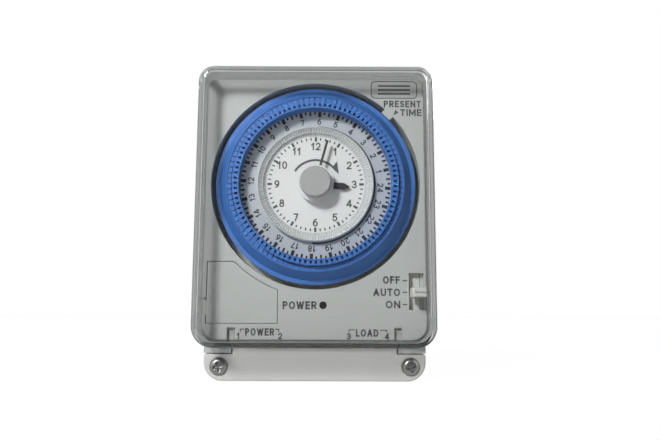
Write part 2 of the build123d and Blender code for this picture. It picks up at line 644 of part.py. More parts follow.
def keyhole(x):
    """Hanging slot: a round entry for the screw head and a narrow run above it."""
    entry = disc(KEYHOLE_ROUND_R, -BODY_DEPTH, -FLOOR, (x, KEYHOLE_Y - KEYHOLE_RUN))
    run = block(x - KEYHOLE_SLOT_R, x + KEYHOLE_SLOT_R, KEYHOLE_Y - KEYHOLE_RUN, KEYHOLE_Y,
                -BODY_DEPTH, -FLOOR)
    return entry + run + disc(KEYHOLE_SLOT_R, -BODY_DEPTH, -FLOOR, (x, KEYHOLE_Y))


def clip_channel():
    """T-shaped channel that holds the rail clip, open to the wall and at the bottom."""
    wide, rib = CLIP_W / 2 + CLIP_FIT, CLIP_RIB_W / 2 + CLIP_FIT
    deep = block(-wide, wide, -BODY_LOW, GROOVE_LOW + FUSE, -BODY_DEPTH + CLIP_LIFT - CLIP_FIT,
                 -CLIP_FRONT + CLIP_FIT)
    return deep + block(-rib, rib, -BODY_LOW, GROOVE_LOW + FUSE, -BODY_DEPTH, -CLIP_FRONT)


def rear_base():
    shell = slab(outline(HALF, -BODY_LOW, BODY_TOP, CORNER_LOW, CORNER_TOP), -BODY_DEPTH, -SPLIT)
    inner = HALF - WALL
    shell -= slab(outline(inner, -PANEL_LOW + WALL, BODY_TOP - WALL, CORNER_TOP - WALL,
                          CORNER_TOP - WALL), -FLOOR, -SPLIT)
    shell += block(-inner - FUSE, inner + FUSE, GROOVE_LOW - WALL, GROOVE_HIGH + WALL,
                   -FLOOR - FUSE, -RAIL_FLOOR)
    hoop = CLIP_W / 2 + CLIP_FIT + CLIP_HOOP
    shell += block(-hoop, hoop, -PANEL_LOW, GROOVE_LOW, -FLOOR - FUSE, -CLIP_FRONT + CLIP_FIT + CLIP_HOOP)
    shell -= block(-inner, inner, -BODY_LOW + TERMINAL_WALL, -CHAMBER_TOP, -CHAMBER_FLOOR, -SPLIT)
    for x in BARRIER_X:
        shell += block(x - BARRIER_T / 2, x + BARRIER_T / 2, -BODY_LOW + TERMINAL_WALL - FUSE,
                       -CHAMBER_TOP + FUSE, -CHAMBER_FLOOR - FUSE, -CHAMBER_FLOOR + BARRIER_H)
    for x in TERMINAL_X:
        shell -= block(x - ENTRY_W / 2, x + ENTRY_W / 2, -BODY_LOW, -BODY_LOW + TERMINAL_WALL,
                       -SPLIT - ENTRY_DEPTH, -SPLIT)
        shell -= block(x - TAIL_W / 2 - TAIL_FIT, x + TAIL_W / 2 + TAIL_FIT, -CHAMBER_TOP,
                       -PANEL_LOW + WALL, -CHAMBER_FLOOR, -CHAMBER_FLOOR + TERMINAL_SHEET + TAIL_FIT)
        shell -= disc(TERMINAL_SHANK_R, -CHAMBER_FLOOR - TERMINAL_SHANK, -CHAMBER_FLOOR,
                      (x, (-CHAMBER_TOP - BODY_LOW + TERMINAL_WALL) / 2))
    for side in (-1, 1):
        at = (side * COVER_SCREW_X, -COVER_SCREW_Y)
        shell += disc(SCREW_BOSS_R, -CHAMBER_FLOOR - FUSE, -TERMINAL_DROP - TERMINAL_T, at)
        shell -= disc(M3_PILOT_R, -TERMINAL_DROP - HEAD_SINK - COVER_SCREW_LENGTH,
                      -TERMINAL_DROP - TERMINAL_T, at)
        for y in (POST_LOW, POST_HIGH):
            shell += disc(POST_R, -FLOOR - FUSE, -BOARD_FRONT - BOARD_T, (side * POST_X, y))
            shell += disc(STAKE_R, -FLOOR, -BOARD_FRONT, (side * POST_X, y))
    for at in zip(BOSS_X, BOSS_Y):
        shell += disc(BOSS_TUBE_R, -FLOOR - FUSE, -SPLIT, at)
        shell -= disc(BOSS_BORE_R, -BODY_DEPTH, -BOSS_SEAT, at)
        shell -= disc(M3_R + COVER_FIT, -BOSS_SEAT, -SPLIT, at)
    flange = -BODY_DEPTH + HOOK_T
    shell -= block(-HALF, HALF, GROOVE_LOW, GROOVE_HIGH - HOOK, -BODY_DEPTH, flange)
    shell -= block(-HALF, HALF, GROOVE_LOW, GROOVE_HIGH, flange, -BODY_DEPTH + GROOVE)
    shell -= clip_channel()
    for side in (-1, 1):
        shell -= keyhole(side * KEYHOLE_X)
    return shell


def din_clip():
    low, high = -BODY_LOW + CLIP_TAIL, GROOVE_LOW + HOOK
    bar = block(-CLIP_W / 2, CLIP_W / 2, low, high, -BODY_DEPTH + CLIP_LIFT, -CLIP_FRONT)
    nose = bar.edges().filter_by(Axis.X).group_by(Axis.Y)[-1].group_by(Axis.Z)[0]
    bar = chamfer(nose, CLIP_NOSE)
    return bar + block(-CLIP_RIB_W / 2, CLIP_RIB_W / 2, low, GROOVE_LOW - CLIP_TRAVEL,
                       -BODY_DEPTH + CLIP_RIB_CLEAR, -BODY_DEPTH + CLIP_LIFT)


def housing_screws():
    return group(pan_screw(at, -BOSS_SEAT, BOSS_SCREW, M3_R, M3_HEAD_R, M3_HEAD_H, facing=-1)
                 for at in zip(BOSS_X, BOSS_Y))


def battery_lid():
    lid = slab(lid_sheet(LID_GAP), -LID_T, 0)
    front = lid.edges().group_by(Axis.Z)[-1]
    left, upper = front.sort_by(Axis.X)[0], front.filter_by(Axis.X).sort_by(Axis.Y)[-1]
    return fillet([left, upper], LID_EDGE)


# Terminals, battery and circuit board

def terminal_plates():
    plates = []
    low, top = -BODY_LOW + TERMINAL_WALL + FUSE, -CHAMBER_TOP - FUSE
    front = -CHAMBER_FLOOR + TERMINAL_SHEET
    leg = BOARD_LOW + TERMINAL_SHEET
    for x in TERMINAL_X:
        plate = block(x - TERMINAL_W / 2, x + TERMINAL_W / 2, low, top, -CHAMBER_FLOOR, front)
        plate += block(x - TAIL_W / 2, x + TAIL_W / 2, top, leg, -CHAMBER_FLOOR, front)
        plate += block(x - TAIL_W / 2, x + TAIL_W / 2, BOARD_LOW, leg, -BOARD_FRONT, front)
        middle = (x, (-CHAMBER_TOP - BODY_LOW + TERMINAL_WALL) / 2)
        plates.append(plate - disc(TERMINAL_SHANK_R, -CHAMBER_FLOOR, front, middle))
    return group(plates)


def terminal_screws():
    middle = (-CHAMBER_TOP - BODY_LOW + TERMINAL_WALL) / 2
    return group(pan_screw((x, middle), -CHAMBER_FLOOR + TERMINAL_SHEET, TERMINAL_SHANK, TERMINAL_SHANK_R,
                           TERMINAL_SCREW_R, TERMINAL_SCREW_H) for x in TERMINAL_X)


def battery_ends():
    """Left and right end of the battery between its two contacts."""
    margin = BATTERY_GAP + CONTACT_T
    return BAY_LEFT + margin, BAY_RIGHT - margin


def backup_battery():
    left, right = battery_ends()
    cell = Rot(0, 90, 0) * Cylinder(BATTERY_R, right - left)
    cell = chamfer(cell.edges().filter_by(GeomType.CIRCLE), CONTACT_T)
    return Pos((left + right) / 2, BATTERY_Y, BATTERY_Z) * cell


def battery_contacts():
    low, high = BATTERY_Y - CONTACT_H / 2, BATTERY_Y + CONTACT_H / 2
    back = -SPLIT + BAY_WALL
    return group(block(x, x + CONTACT_T, low, high, back, back + CONTACT_D)
                 for x in (BAY_LEFT, BAY_RIGHT - CONTACT_T))


def circuit_board():
    sheet = Pos(0, (BOARD_LOW + BOARD_HIGH) / 2) * Rectangle(2 * BOARD_HALF, BOARD_HIGH - BOARD_LOW)
    for at in zip(BOSS_X, BOSS_Y):
        sheet -= Pos(*at) * Circle(BOSS_TUBE_R + BOARD_CLEAR)
    for side in (-1, 1):
        for y in (POST_LOW, POST_HIGH):
            sheet -= Pos(side * POST_X, y) * Circle(STAKE_R + STAKE_FIT)
    return slab(sheet, -BOARD_FRONT - BOARD_T, -BOARD_FRONT)


def on_board(size, at):
    """Box-shaped component that stands on the front of the board."""
    return Pos(at[0], at[1], -BOARD_FRONT + size[2] / 2) * Box(*size)


def film_capacitor():
    box = on_board(FILM_BOX, FILM_AT)
    return fillet(box.edges().group_by(Axis.Z)[-1], PANEL_EDGE)


def capacitors():
    return group(chamfer(can.edges().group_by(Axis.Z)[-1], PANEL_EDGE)
                 for can in (disc(CAN_R, -BOARD_FRONT, -BOARD_FRONT + CAN_H, at) for at in CANS_AT))


def control_chip():
    return on_board(CHIP_BOX, CHIP_AT)


def crystal():
    can = Rot(0, 90, 0) * Cylinder(CRYSTAL_R, CRYSTAL_L)
    return Pos(CRYSTAL_AT[0], CRYSTAL_AT[1], -BOARD_FRONT + CRYSTAL_R) * can


def power_lamp():
    bulb = disc(LED_R, -BOARD_FRONT, -BOARD_FRONT + LED_H, (LAMP_X, LAMP_Y))
    return chamfer(bulb.edges().group_by(Axis.Z)[-1], LED_BEVEL)


def lamp_pipe():
    return disc(LAMP_R, -BOARD_FRONT + LED_H, 0, (LAMP_X, LAMP_Y))


def mode_slider():
    middle = SLOT_Y
    front = -PANEL - CARRIAGE_GAP
    slider = block(SLOT_X - CARRIAGE_LEFT, CARRIAGE_RIGHT, middle - CARRIAGE_H / 2, middle + CARRIAGE_H / 2,
                   front - CARRIAGE_T, front)
    slider += block(SLOT_X - SLIDER_STEM_W / 2, SLOT_X + SLIDER_STEM_W / 2, middle - SLIDER_STEM_H / 2,
                    middle + SLIDER_STEM_H / 2, front, CAP_FOOT)
    left, right = SLOT_X + CAP_RIGHT - CAP_W / 2, SLOT_X + CAP_RIGHT + CAP_W / 2
    middle -= CAP_DROP
    cap = block(left, right, middle - CAP_H / 2, middle + CAP_H / 2, CAP_FOOT, CAP_FRONT)
    cap = fillet(cap.edges().group_by(Axis.Z)[-1], CAP_GROOVE)
    cap -= block(left + CAP_RIM, right, middle - CAP_GROOVE / 2, middle + CAP_GROOVE / 2,
                 CAP_FRONT - CAP_GROOVE, CAP_FRONT)
    return slider + cap


# Dial

def dial_ring():
    """Hub, web, trough and skirt of the dial in one moulding."""
    bed = TAB_RING_R + PLATE_FIT
    hollow = TROUGH_FLOOR - RING_WALL
    return turned(
        (TUBE_R + RUN, -DIAL_WHEEL_BACK), (HUB_R, -DIAL_WHEEL_BACK), (HUB_R, -WEB_BACK),
        (LIP_R - LIP_T, -WEB_BACK), (LIP_R - LIP_T, -RING_BACK), (LIP_R + RING_WALL, -RING_BACK),
        (LIP_R + RING_WALL, hollow), (TAB_RING_R, hollow), (TAB_RING_R, -RING_BACK), (RING_R, -RING_BACK),
        (RING_R, -RING_BACK + FLANGE_T), (SKIRT_FOOT_R, -RING_BACK + FLANGE_T),
        (CREST_R, RIM - SKIRT_DROP), (CREST_R - SKIRT_DROP / 2, RIM), (bed, RIM),
        (bed, TROUGH_FLOOR), (LIP_R, TROUGH_FLOOR), (LIP_R, CREST), (LIP_R - LIP_T, CREST),
        (LIP_R - LIP_T, -WEB_FRONT), (HUB_R, -WEB_FRONT),
        (HUB_R, -HUB_FRONT), (TUBE_R + RUN, -HUB_FRONT))


def tab_ring():
    """Ring pressed into the dial's trough, with a slot at every quarter-hour mark."""
    half = TAB_SLOT_W / 2
    deep = TROUGH_R + TAB_SLOT_DEEP
    corners = ((TROUGH_R, -half), (deep, -half), (deep, half), (TROUGH_R, half))
    points = []
    for tab in range(TAB_COUNT):
        turn = radians(tab_angle(tab + 0.5))
        points += [(r * cos(turn) - a * sin(turn), r * sin(turn) + a * cos(turn)) for r, a in corners]
    return slab(Circle(TAB_RING_R) - Polygon(*points, align=None), TROUGH_FLOOR, RIM - TAB_RING_DROP)


def tab_angle(tab):
    """Middle of a tab: each tab stands for the time between two quarter-hour marks."""
    return (tab + 0.5) * 360 / TAB_COUNT + DIAL_TURN


def setting_tab(tab):
    """One tab in its inner place: a narrow stem, a wide head and a slanted foot to rock out on."""
    foot = TROUGH_FLOOR + TAB_LIFT
    side = Plane.XZ * Polygon(
        (TAB_IN, foot), (TAB_IN + TAB_HEEL, foot), (TAB_OUT, foot + TAB_FOOT), (TAB_OUT, CREST),
        (TAB_IN, CREST), align=None)
    bar = extrude(side, TAB_W / 2, both=True)
    for edge in (-1, 1):
        bar -= block(TAB_IN, TAB_IN + STEM_T, edge * STEM_W / 2, edge * TAB_W / 2, foot, CREST)
    return Rot(0, 0, tab_angle(tab)) * bar


def setting_tabs():
    return group(setting_tab(tab) for tab in range(TAB_COUNT) if tab not in LOOSE_TABS)


def hour_plate():
    return sleeve(PLATE_BORE, PLATE_R, -WEB_FRONT, PLATE_FRONT)


def dial_wheel():
    return gear(DIAL_TEETH, DIAL_M, HUB_R, -DIAL_WHEEL_BACK, -DIAL_WHEEL_FRONT, first=90)


def dial_clip():
    """Washer on the fixed tube that keeps the dial from coming off."""
    return sleeve(TUBE_R, CLIP_RING_R, FACE_FRONT - FACE_T - CLIP_RING_T, FACE_FRONT - FACE_T)


# Clock face, hands and knob

def clock_face():
    return sleeve(TUBE_R, FACE_R, FACE_FRONT - FACE_T, FACE_FRONT)


def face_bezel():
    """Rim round the face: it stands above the hour plate and falls to the face in two slopes."""
    back = PLATE_FRONT + BEZEL_CLEAR
    return turned((FACE_R, back), (BEZEL_R, back), (BEZEL_R, BEZEL_TOP - BEZEL_EDGE),
                  (BEZEL_R - BEZEL_EDGE, BEZEL_TOP), (BEZEL_STEP_R, BEZEL_STEP), (BEZEL_STEP_R, BEZEL_STEP_FOOT),
                  (BEZEL_IN, FACE_FRONT + BEZEL_LIP), (BEZEL_IN, FACE_FRONT), (FACE_R, FACE_FRONT))


def hour_hand():
    half, waist = HOUR_HAND_W / 2, HOUR_HAND_WAIST / 2
    blade = Polygon((0, -waist), (HOUR_HAND_SHOULDER, -half), (HOUR_HAND_TIP, 0),
                    (HOUR_HAND_SHOULDER, half), (0, waist), align=None)
    sheet = blade + Circle(HAND_BOSS_R) - Circle(PIPE_R)
    return Rot(0, 0, HOUR_ANGLE) * slab(sheet, HOUR_HAND_Z, HOUR_HAND_Z + HAND_T)


def minute_hand():
    front = MINUTE_HAND_Z + HAND_T
    blade = slab(Pos(MINUTE_HAND_TIP / 2, 0) * Rectangle(MINUTE_HAND_TIP, MINUTE_HAND_W), MINUTE_HAND_Z, front)
    hand = blade + disc(MINUTE_HUB_R, front - MINUTE_HUB_T, front)
    return Rot(0, 0, MINUTE_ANGLE) * (hand - disc(ARBOR_R, front - MINUTE_HUB_T, front))


def setting_knob():
    knob = disc(KNOB_R, KNOB_FRONT - KNOB_T, KNOB_FRONT)
    knob = chamfer(knob.edges().group_by(Axis.Z)[-1], KNOB_EDGE)
    knob += disc(HAND_BOSS_R, MINUTE_HAND_Z + HAND_T, KNOB_FRONT - KNOB_T)
    return knob - disc(ARBOR_R, MINUTE_HAND_Z + HAND_T, KNOB_FRONT - KNOB_T + KNOB_SOCKET)


# Shafts and wheels

def centre_tube():
    return sleeve(TUBE_BORE, TUBE_R, -FRONT_PLATE_BACK, FACE_FRONT)


def minute_arbor():
    return disc(ARBOR_R, -REAR_PLATE_BACK, KNOB_FRONT - KNOB_T + KNOB_SOCKET)


def cannon_pinion():
    back = -COUNTER_WHEEL_FRONT - WHEEL_T - PINION_OVERLAP
    return gear(MINUTE_TEETH, TRAIN_M, ARBOR_R, back, -COUNTER_WHEEL_FRONT + PINION_OVERLAP,
                first=90 + 180 / MINUTE_TEETH)


def counter_wheel():
    return gear(COUNTER_TEETH, TRAIN_M, COUNTER_R, -COUNTER_WHEEL_FRONT - WHEEL_T, -COUNTER_WHEEL_FRONT,
                COUNTER_AT, first=270)


def counter_arbor():
    """Shaft between the plates and past the front one, with the pinion for the hour wheel cut on it."""
    shaft = disc(COUNTER_R, -REAR_PLATE_BACK, -DIAL_WHEEL_FRONT + PINION_OVERLAP, COUNTER_AT)
    pinion = gear(COUNTER_PINION_TEETH, TRAIN_M, COUNTER_R / 2,
                  -HOUR_WHEEL_FRONT - WHEEL_T - PINION_OVERLAP, -HOUR_WHEEL_FRONT + PINION_OVERLAP,
                  COUNTER_AT, first=270 + 180 / COUNTER_PINION_TEETH)
    return shaft + pinion


def dial_pinion():
    return gear(DIAL_PINION_TEETH, DIAL_M, COUNTER_R, -DIAL_WHEEL_BACK - PINION_OVERLAP,
                -DIAL_WHEEL_FRONT + PINION_OVERLAP, COUNTER_AT, first=270 + 180 / DIAL_PINION_TEETH)


def hour_wheel():
    wheel = gear(HOUR_TEETH, TRAIN_M, PIPE_BORE, -HOUR_WHEEL_FRONT - WHEEL_T, -HOUR_WHEEL_FRONT, first=90)
    return wheel + sleeve(PIPE_BORE, PIPE_R, -HOUR_WHEEL_FRONT - FUSE, HOUR_HAND_Z + HAND_T)


def drive_wheel():
    """Wheel of the motor side; its boss grips the minute arbor and slips when the hands are set."""
    back = -DRIVE_WHEEL_FRONT - WHEEL_T
    wheel = gear(DRIVE_TEETH, DRIVE_M, ARBOR_R + RUN, back, -DRIVE_WHEEL_FRONT, first=270)
    return wheel + sleeve(ARBOR_R + RUN, CLUTCH_R, back - REAR_GAP / 2, back + FUSE)


# Movement frame, motor, lever and switch

def pillar_places():
    return [(x, y) for x in (-PILLAR_X, PILLAR_X) for y in (-PILLAR_Y, PILLAR_Y)]


def ledge_screw_places():
    return [polar(LEDGE_R + LEDGE_SCREW_IN, angle) for angle in LEDGE_SCREW_ANGLES]


def movement_front_plate():
    sheet = Circle(FRONT_PLATE_R) - Circle(TUBE_R)
    sheet -= Pos(*COUNTER_AT) * Circle(COUNTER_R + RUN)
    sheet -= Pos(*LEVER_PIVOT) * Circle(LEVER_PIN_R)
    sheet -= Pos(*LEVER_TAIL) * Circle(WINDOW_R)
    for at in ledge_screw_places():
        sheet -= Pos(*at) * Circle(M2_R)
    return slab(sheet, -FRONT_PLATE_BACK, -LEDGE_BACK)


def movement_rear_plate():
    top = COUNTER_AT[1] + COUNTER_R + REAR_PLATE_MARGIN + M2_HEAD_R
    low = -PILLAR_Y - REAR_PLATE_MARGIN
    sheet = outline(PILLAR_X + REAR_PLATE_MARGIN, low, top, REAR_PLATE_CORNER, REAR_PLATE_CORNER)
    sheet -= Circle(ARBOR_R + RUN)
    sheet -= Pos(*COUNTER_AT) * Circle(COUNTER_R + RUN)
    sheet -= Pos(*MOTOR_AT) * Circle(PINION_HOLE_R)
    for at in pillar_places():
        sheet -= Pos(*at) * Circle(M2_R)
    return slab(sheet, -REAR_PLATE_BACK, -REAR_PLATE_FRONT)


def movement_pillars():
    return group(disc(PILLAR_R, -REAR_PLATE_FRONT, -FRONT_PLATE_BACK, at)
                 - disc(M2_R, -REAR_PLATE_FRONT, -REAR_PLATE_FRONT + PILLAR_BITE, at)
                 for at in pillar_places())


def movement_screws():
    ledge = [pan_screw(at, -FRONT_PLATE_BACK, MOVEMENT_PLATE_T + M2_BITE, M2_R, M2_HEAD_R, M2_HEAD_H, -1)
             for at in ledge_screw_places()]
    pillar = [pan_screw(at, -REAR_PLATE_BACK, MOVEMENT_PLATE_T + PILLAR_BITE, M2_R, M2_HEAD_R, M2_HEAD_H, -1)
              for at in pillar_places()]
    return group(ledge + pillar)


def motor_can():
    can = disc(MOTOR_R, -MOTOR_BACK, -REAR_PLATE_BACK, MOTOR_AT)
    can -= disc(MOTOR_R - MOTOR_WALL, -MOTOR_BACK + MOTOR_WALL, -REAR_PLATE_BACK, MOTOR_AT)
    return can - disc(ROTOR_SHAFT_R + RUN, -MOTOR_BACK, -MOTOR_BACK + MOTOR_WALL, MOTOR_AT)


def motor_coil():
    return sleeve(COIL_BORE, COIL_R, -MOTOR_BACK + MOTOR_WALL, -REAR_PLATE_BACK - ROTOR_GAP, MOTOR_AT)


def motor_rotor():
    magnet = disc(ROTOR_R, -MOTOR_BACK + MOTOR_WALL + ROTOR_GAP, -REAR_PLATE_BACK - ROTOR_GAP, MOTOR_AT)
    return magnet + disc(ROTOR_SHAFT_R, -MOTOR_BACK, -DRIVE_WHEEL_FRONT + PINION_OVERLAP, MOTOR_AT)


def motor_pinion():
    back = -DRIVE_WHEEL_FRONT - WHEEL_T - PINION_OVERLAP
    return gear(MOTOR_TEETH, DRIVE_M, ROTOR_SHAFT_R, back, -DRIVE_WHEEL_FRONT + PINION_OVERLAP, MOTOR_AT,
                first=90 + 180 / MOTOR_TEETH)


def trip_lever():
    """Flat lever on its pin; the post at its tail reaches through the front plate to the plunger."""
    back = -LEDGE_BACK + LEVER_LIFT
    sheet = Pos(*LEVER_PIVOT) * Circle(LEVER_W / 2 + LEVER_PIN_R)
    for end in (LEVER_TAIL, LEVER_NOSE):
        dx, dy = end[0] - LEVER_PIVOT[0], end[1] - LEVER_PIVOT[1]
        arm = Rot(0, 0, degrees(atan2(dy, dx))) * Rectangle(dist(end, LEVER_PIVOT), LEVER_W - LEVER_TAPER)
        sheet += Pos(LEVER_PIVOT[0] + dx / 2, LEVER_PIVOT[1] + dy / 2) * arm
        sheet += Pos(*end) * Circle(LEVER_W / 2)
    sheet -= Pos(*LEVER_PIVOT) * Circle(LEVER_PIN_R + RUN)
    post = disc(LEVER_POST_R, -FRONT_PLATE_BACK - LEVER_POST, back + LEVER_T, LEVER_TAIL)
    return slab(sheet, back, back + LEVER_T) + post


def lever_pin():
    front = -LEDGE_BACK + LEVER_LIFT + LEVER_T + LEVER_PIN_RISE
    return disc(LEVER_PIN_R, -FRONT_PLATE_BACK, front, LEVER_PIVOT)


def plunger_place():
    """Tip of the plunger, just under the post of the trip lever."""
    return LEVER_TAIL[0], LEVER_TAIL[1] - LEVER_POST_R - POST_GAP


def microswitch():
    x, tip = plunger_place()
    top = tip - PLUNGER_RISE
    case = block(x - SWITCH_LEFT, x - SWITCH_LEFT + SWITCH_W, top - SWITCH_H, top,
                 -FRONT_PLATE_BACK - SWITCH_T, -FRONT_PLATE_BACK)
    half = PLUNGER_W / 2 + PLUNGER_FIT
    depth = -FRONT_PLATE_BACK - LEVER_POST / 2
    floor = top - PLUNGER_DEEP - PLUNGER_RISE
    return case - block(x - half, x + half, floor, top, depth - half, depth + half)


def switch_plunger():
    x, tip = plunger_place()
    half = PLUNGER_W / 2
    depth = -FRONT_PLATE_BACK - LEVER_POST / 2
    return block(x - half, x + half, tip - PLUNGER_RISE - PLUNGER_DEEP, tip, depth - half, depth + half)


PIECES = (
    front_housing, rear_base, clear_cover, terminal_cover, terminal_cover_screws, din_clip, housing_screws,
    battery_lid, terminal_plates, terminal_screws, backup_battery, battery_contacts, circuit_board,
    film_capacitor, capacitors, control_chip, crystal, power_lamp, lamp_pipe, mode_slider, dial_ring,
    tab_ring, setting_tabs, hour_plate, dial_wheel, dial_clip, clock_face, face_bezel, hour_hand, minute_hand,
    setting_knob, centre_tube, minute_arbor, cannon_pinion, counter_wheel, counter_arbor, dial_pinion,
    hour_wheel, drive_wheel, movement_front_plate, movement_rear_plate, movement_pillars, movement_screws,
    motor_can, motor_coil, motor_rotor, motor_pinion, trip_lever, lever_pin, microswitch, switch_plunger,
)

os.makedirs("parts", exist_ok=True)
for piece in PIECES:
    export_step(PLACE * piece(), f"parts/{piece.__name__}.step")
for number, tab in enumerate(LOOSE_TABS, start=1):
    export_step(PLACE * setting_tab(tab), f"parts/setting_tab_{number}.step")
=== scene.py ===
"""Looks of a rail mounted time switch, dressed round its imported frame.

The frame is in metres, +Z up, with the front towards -Y. Print and trim are drawn in the dial's own
plane in millimetres: x to the right, y up and z towards the reader, from the dial axis. to_part() then
carries them to the frame.
"""

import json
from math import cos, radians, sin

import bpy
import numpy as np
from mathutils import Matrix, Vector


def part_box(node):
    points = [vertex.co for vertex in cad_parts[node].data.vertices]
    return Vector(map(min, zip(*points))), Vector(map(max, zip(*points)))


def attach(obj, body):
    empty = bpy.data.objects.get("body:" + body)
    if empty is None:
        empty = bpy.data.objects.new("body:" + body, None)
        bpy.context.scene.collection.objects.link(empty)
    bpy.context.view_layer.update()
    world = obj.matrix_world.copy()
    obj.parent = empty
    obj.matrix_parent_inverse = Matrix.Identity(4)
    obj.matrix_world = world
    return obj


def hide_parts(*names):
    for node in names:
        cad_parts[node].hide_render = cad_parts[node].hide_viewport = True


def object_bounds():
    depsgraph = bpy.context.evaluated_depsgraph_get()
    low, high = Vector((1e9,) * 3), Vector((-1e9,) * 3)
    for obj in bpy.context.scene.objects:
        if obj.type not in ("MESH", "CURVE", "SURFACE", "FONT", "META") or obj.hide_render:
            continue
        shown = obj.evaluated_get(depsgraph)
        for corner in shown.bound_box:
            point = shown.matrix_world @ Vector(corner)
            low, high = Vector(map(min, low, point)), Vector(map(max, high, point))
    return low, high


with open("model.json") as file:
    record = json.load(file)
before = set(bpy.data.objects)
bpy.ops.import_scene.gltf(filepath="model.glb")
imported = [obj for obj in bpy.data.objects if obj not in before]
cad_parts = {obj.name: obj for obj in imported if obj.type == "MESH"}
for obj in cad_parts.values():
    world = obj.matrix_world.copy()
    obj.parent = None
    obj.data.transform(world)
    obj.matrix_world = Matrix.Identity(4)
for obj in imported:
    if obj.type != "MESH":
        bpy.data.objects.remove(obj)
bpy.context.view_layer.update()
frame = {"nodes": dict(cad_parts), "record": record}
nodes = frame["nodes"]
MM = 0.001

# Where the frame's own pieces lie
ring_low, ring_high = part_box("dial_ring")
AXIS_X = (ring_low.x + ring_high.x) / 2
AXIS_Z = (ring_low.z + ring_high.z) / 2
PANEL_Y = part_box("front_housing")[0].y
PLATE_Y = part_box("hour_plate")[0].y
FACE_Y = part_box("clock_face")[0].y
FACE_R = (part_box("clock_face")[1].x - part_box("clock_face")[0].x) / 2 / MM

# Print: flat ink that stands a hair above its surface
INK_RISE = 0.03
INK_SINK = 0.02

# Dial print
DIAL_TURN = -2.9        # the dial stands a little past the hour, in degrees
QUARTERS = 96
DAY_HOURS = 24
HOUR_TICK = (22.5, 24.25, 1.05)
HALF_TICK = (22.9, 24.25, 0.65)
QUARTER_TICK = (23.3, 24.25, 0.6)
HOUR_NUMBER_R = 20.95
HOUR_NUMBER_H = 2.0
NIGHT_R = 19.15
NIGHT_W = 0.45
NIGHT_STEPS = 90

# Clock face print
MINUTES = 60
FACE_HOURS = 12
FIVE_TICK = (14.1, 15.6, 0.75)
MINUTE_TICK = (14.5, 15.4, 0.42)
FACE_NUMBER_R = 12.5
FACE_NUMBER_H = 2.55
TURN_ARC_R = 7.95
TURN_ARC_W = 0.7
TURN_ARC_FROM = 148
TURN_ARC_TO = 45
TURN_ARC_STEPS = 60
TURN_HEAD = ((5.25, 5.44), (7.51, 3.31), (6.90, 7.60))
TURN_HEAD_POINT = 0.03  # width of the arrow's point, as a share of its side
HUB_R = 5.93            # pale hub of the minute hand

# Ribs of the bezel
BEZEL_RIBS = 132
RIB_STEPS = 6
RIB_DEPTH = 0.30
RIB_SWELL = 0.5         # power of the sine that a rib swells by along its slope
SLOPE_STEPS = 7
BEZEL_EDGE = 0.3
BEZEL_STEP_R = 16.9
BEZEL_STEP = (0.85, 0.6)
BEZEL_IN = 15.9
BEZEL_LIP = 0.15

# Panel print, as (text, left, right, low, high) in the dial's plane
PANEL_WORDS = (
    ("OFF", 21.5, 26.9, -31.9, -29.5),
    ("AUTO", 18.4, 26.9, -35.8, -33.4),
    ("ON", 22.3, 26.9, -39.6, -37.2),
    ("POWER", -10.1, 0.6, -40.0, -37.5),
    ("PRESENT", 22.2, 34.4, 25.8, 28.1),
    ("TIME", 27.6, 34.6, 22.9, 25.2),
    ("POWER", -21.7, -12.6, -48.2, -45.9),
    ("LOAD", 12.9, 20.0, -48.4, -46.1),
    ("1", -24.3, -23.4, -49.3, -47.3),
    ("2", -11.4, -10.1, -49.3, -47.3),
    ("3", 10.1, 11.4, -49.3, -47.3),
    ("4", 22.0, 23.4, -49.3, -47.3),
)
SLIDER_DASH_X = (27.7, 29.15)
SLIDER_DASH_Y = (-30.9, -34.55, -38.4)
DASH_W = 0.4
BRACKETS = (
    ((-22.1, -46.2), (-23.2, -46.2), (-23.2, -46.9)),
    ((-12.2, -46.2), (-11.2, -46.2), (-11.2, -46.9)),
    ((12.4, -46.3), (10.8, -46.3), (10.8, -46.9)),
    ((20.5, -46.4), (22.6, -46.4), (22.6, -46.9)),
)
MARK = ((25.32, 23.10), (26.03, 25.08), (27.04, 23.96))
MARK_POINT = 0.02
LEGEND = (18.1, 33.1, 28.9, 34.6)
LEGEND_CORNER = 1.3
CORNER_STEPS = 10
LINE_W = 0.3
LEGEND_ROWS = (30.4, 31.75, 33.1)
ROW_W = 0.6
LEGEND_INSET = 2.2

# Screws of the terminal cover
HEAD_R = 2.75
HEAD_H = 1.9
HEAD_SECTORS = 128
HEAD_RINGS = 44
HEAD_START = 0.01       # innermost ring, as a share of the head's radius
DOME_FALL = 0.55
DOME_POWER = 5
SHANK_R = 1.5
SHANK_END_R = 0.01
SHANK_LENGTH = 14.0
CROSS_W = 0.5
CROSS_SLOPE = 0.2
CROSS_REACH = 1.75
CROSS_END = 0.5
CROSS_DEPTH = 0.9
CROSS_TURN = 0.3

# Camera, as measured on the photograph (660 x 440)
IMAGE_W = 660
FOCAL_PX = 625.1
SENSOR_MM = 36.0
CAMERA_AT = (0.004309, -0.245967, -0.026396)
CAMERA_YAW = 0.113
CAMERA_PITCH = 7.879
CAMERA_ROLL = 0.230
CLIP_START = 0.01

# Finishes: broad clouds over the fine grain, and how far the gloss swings
GRAIN_DETAIL = 3.0
CLOUD_SCALE = 90.0
CLOUD_DETAIL = 2.0
CLOUD_RANGE = (0.6, 1.4)  # sum of both noises, from the darkest to the lightest
GLOSS_SWING = 0.12

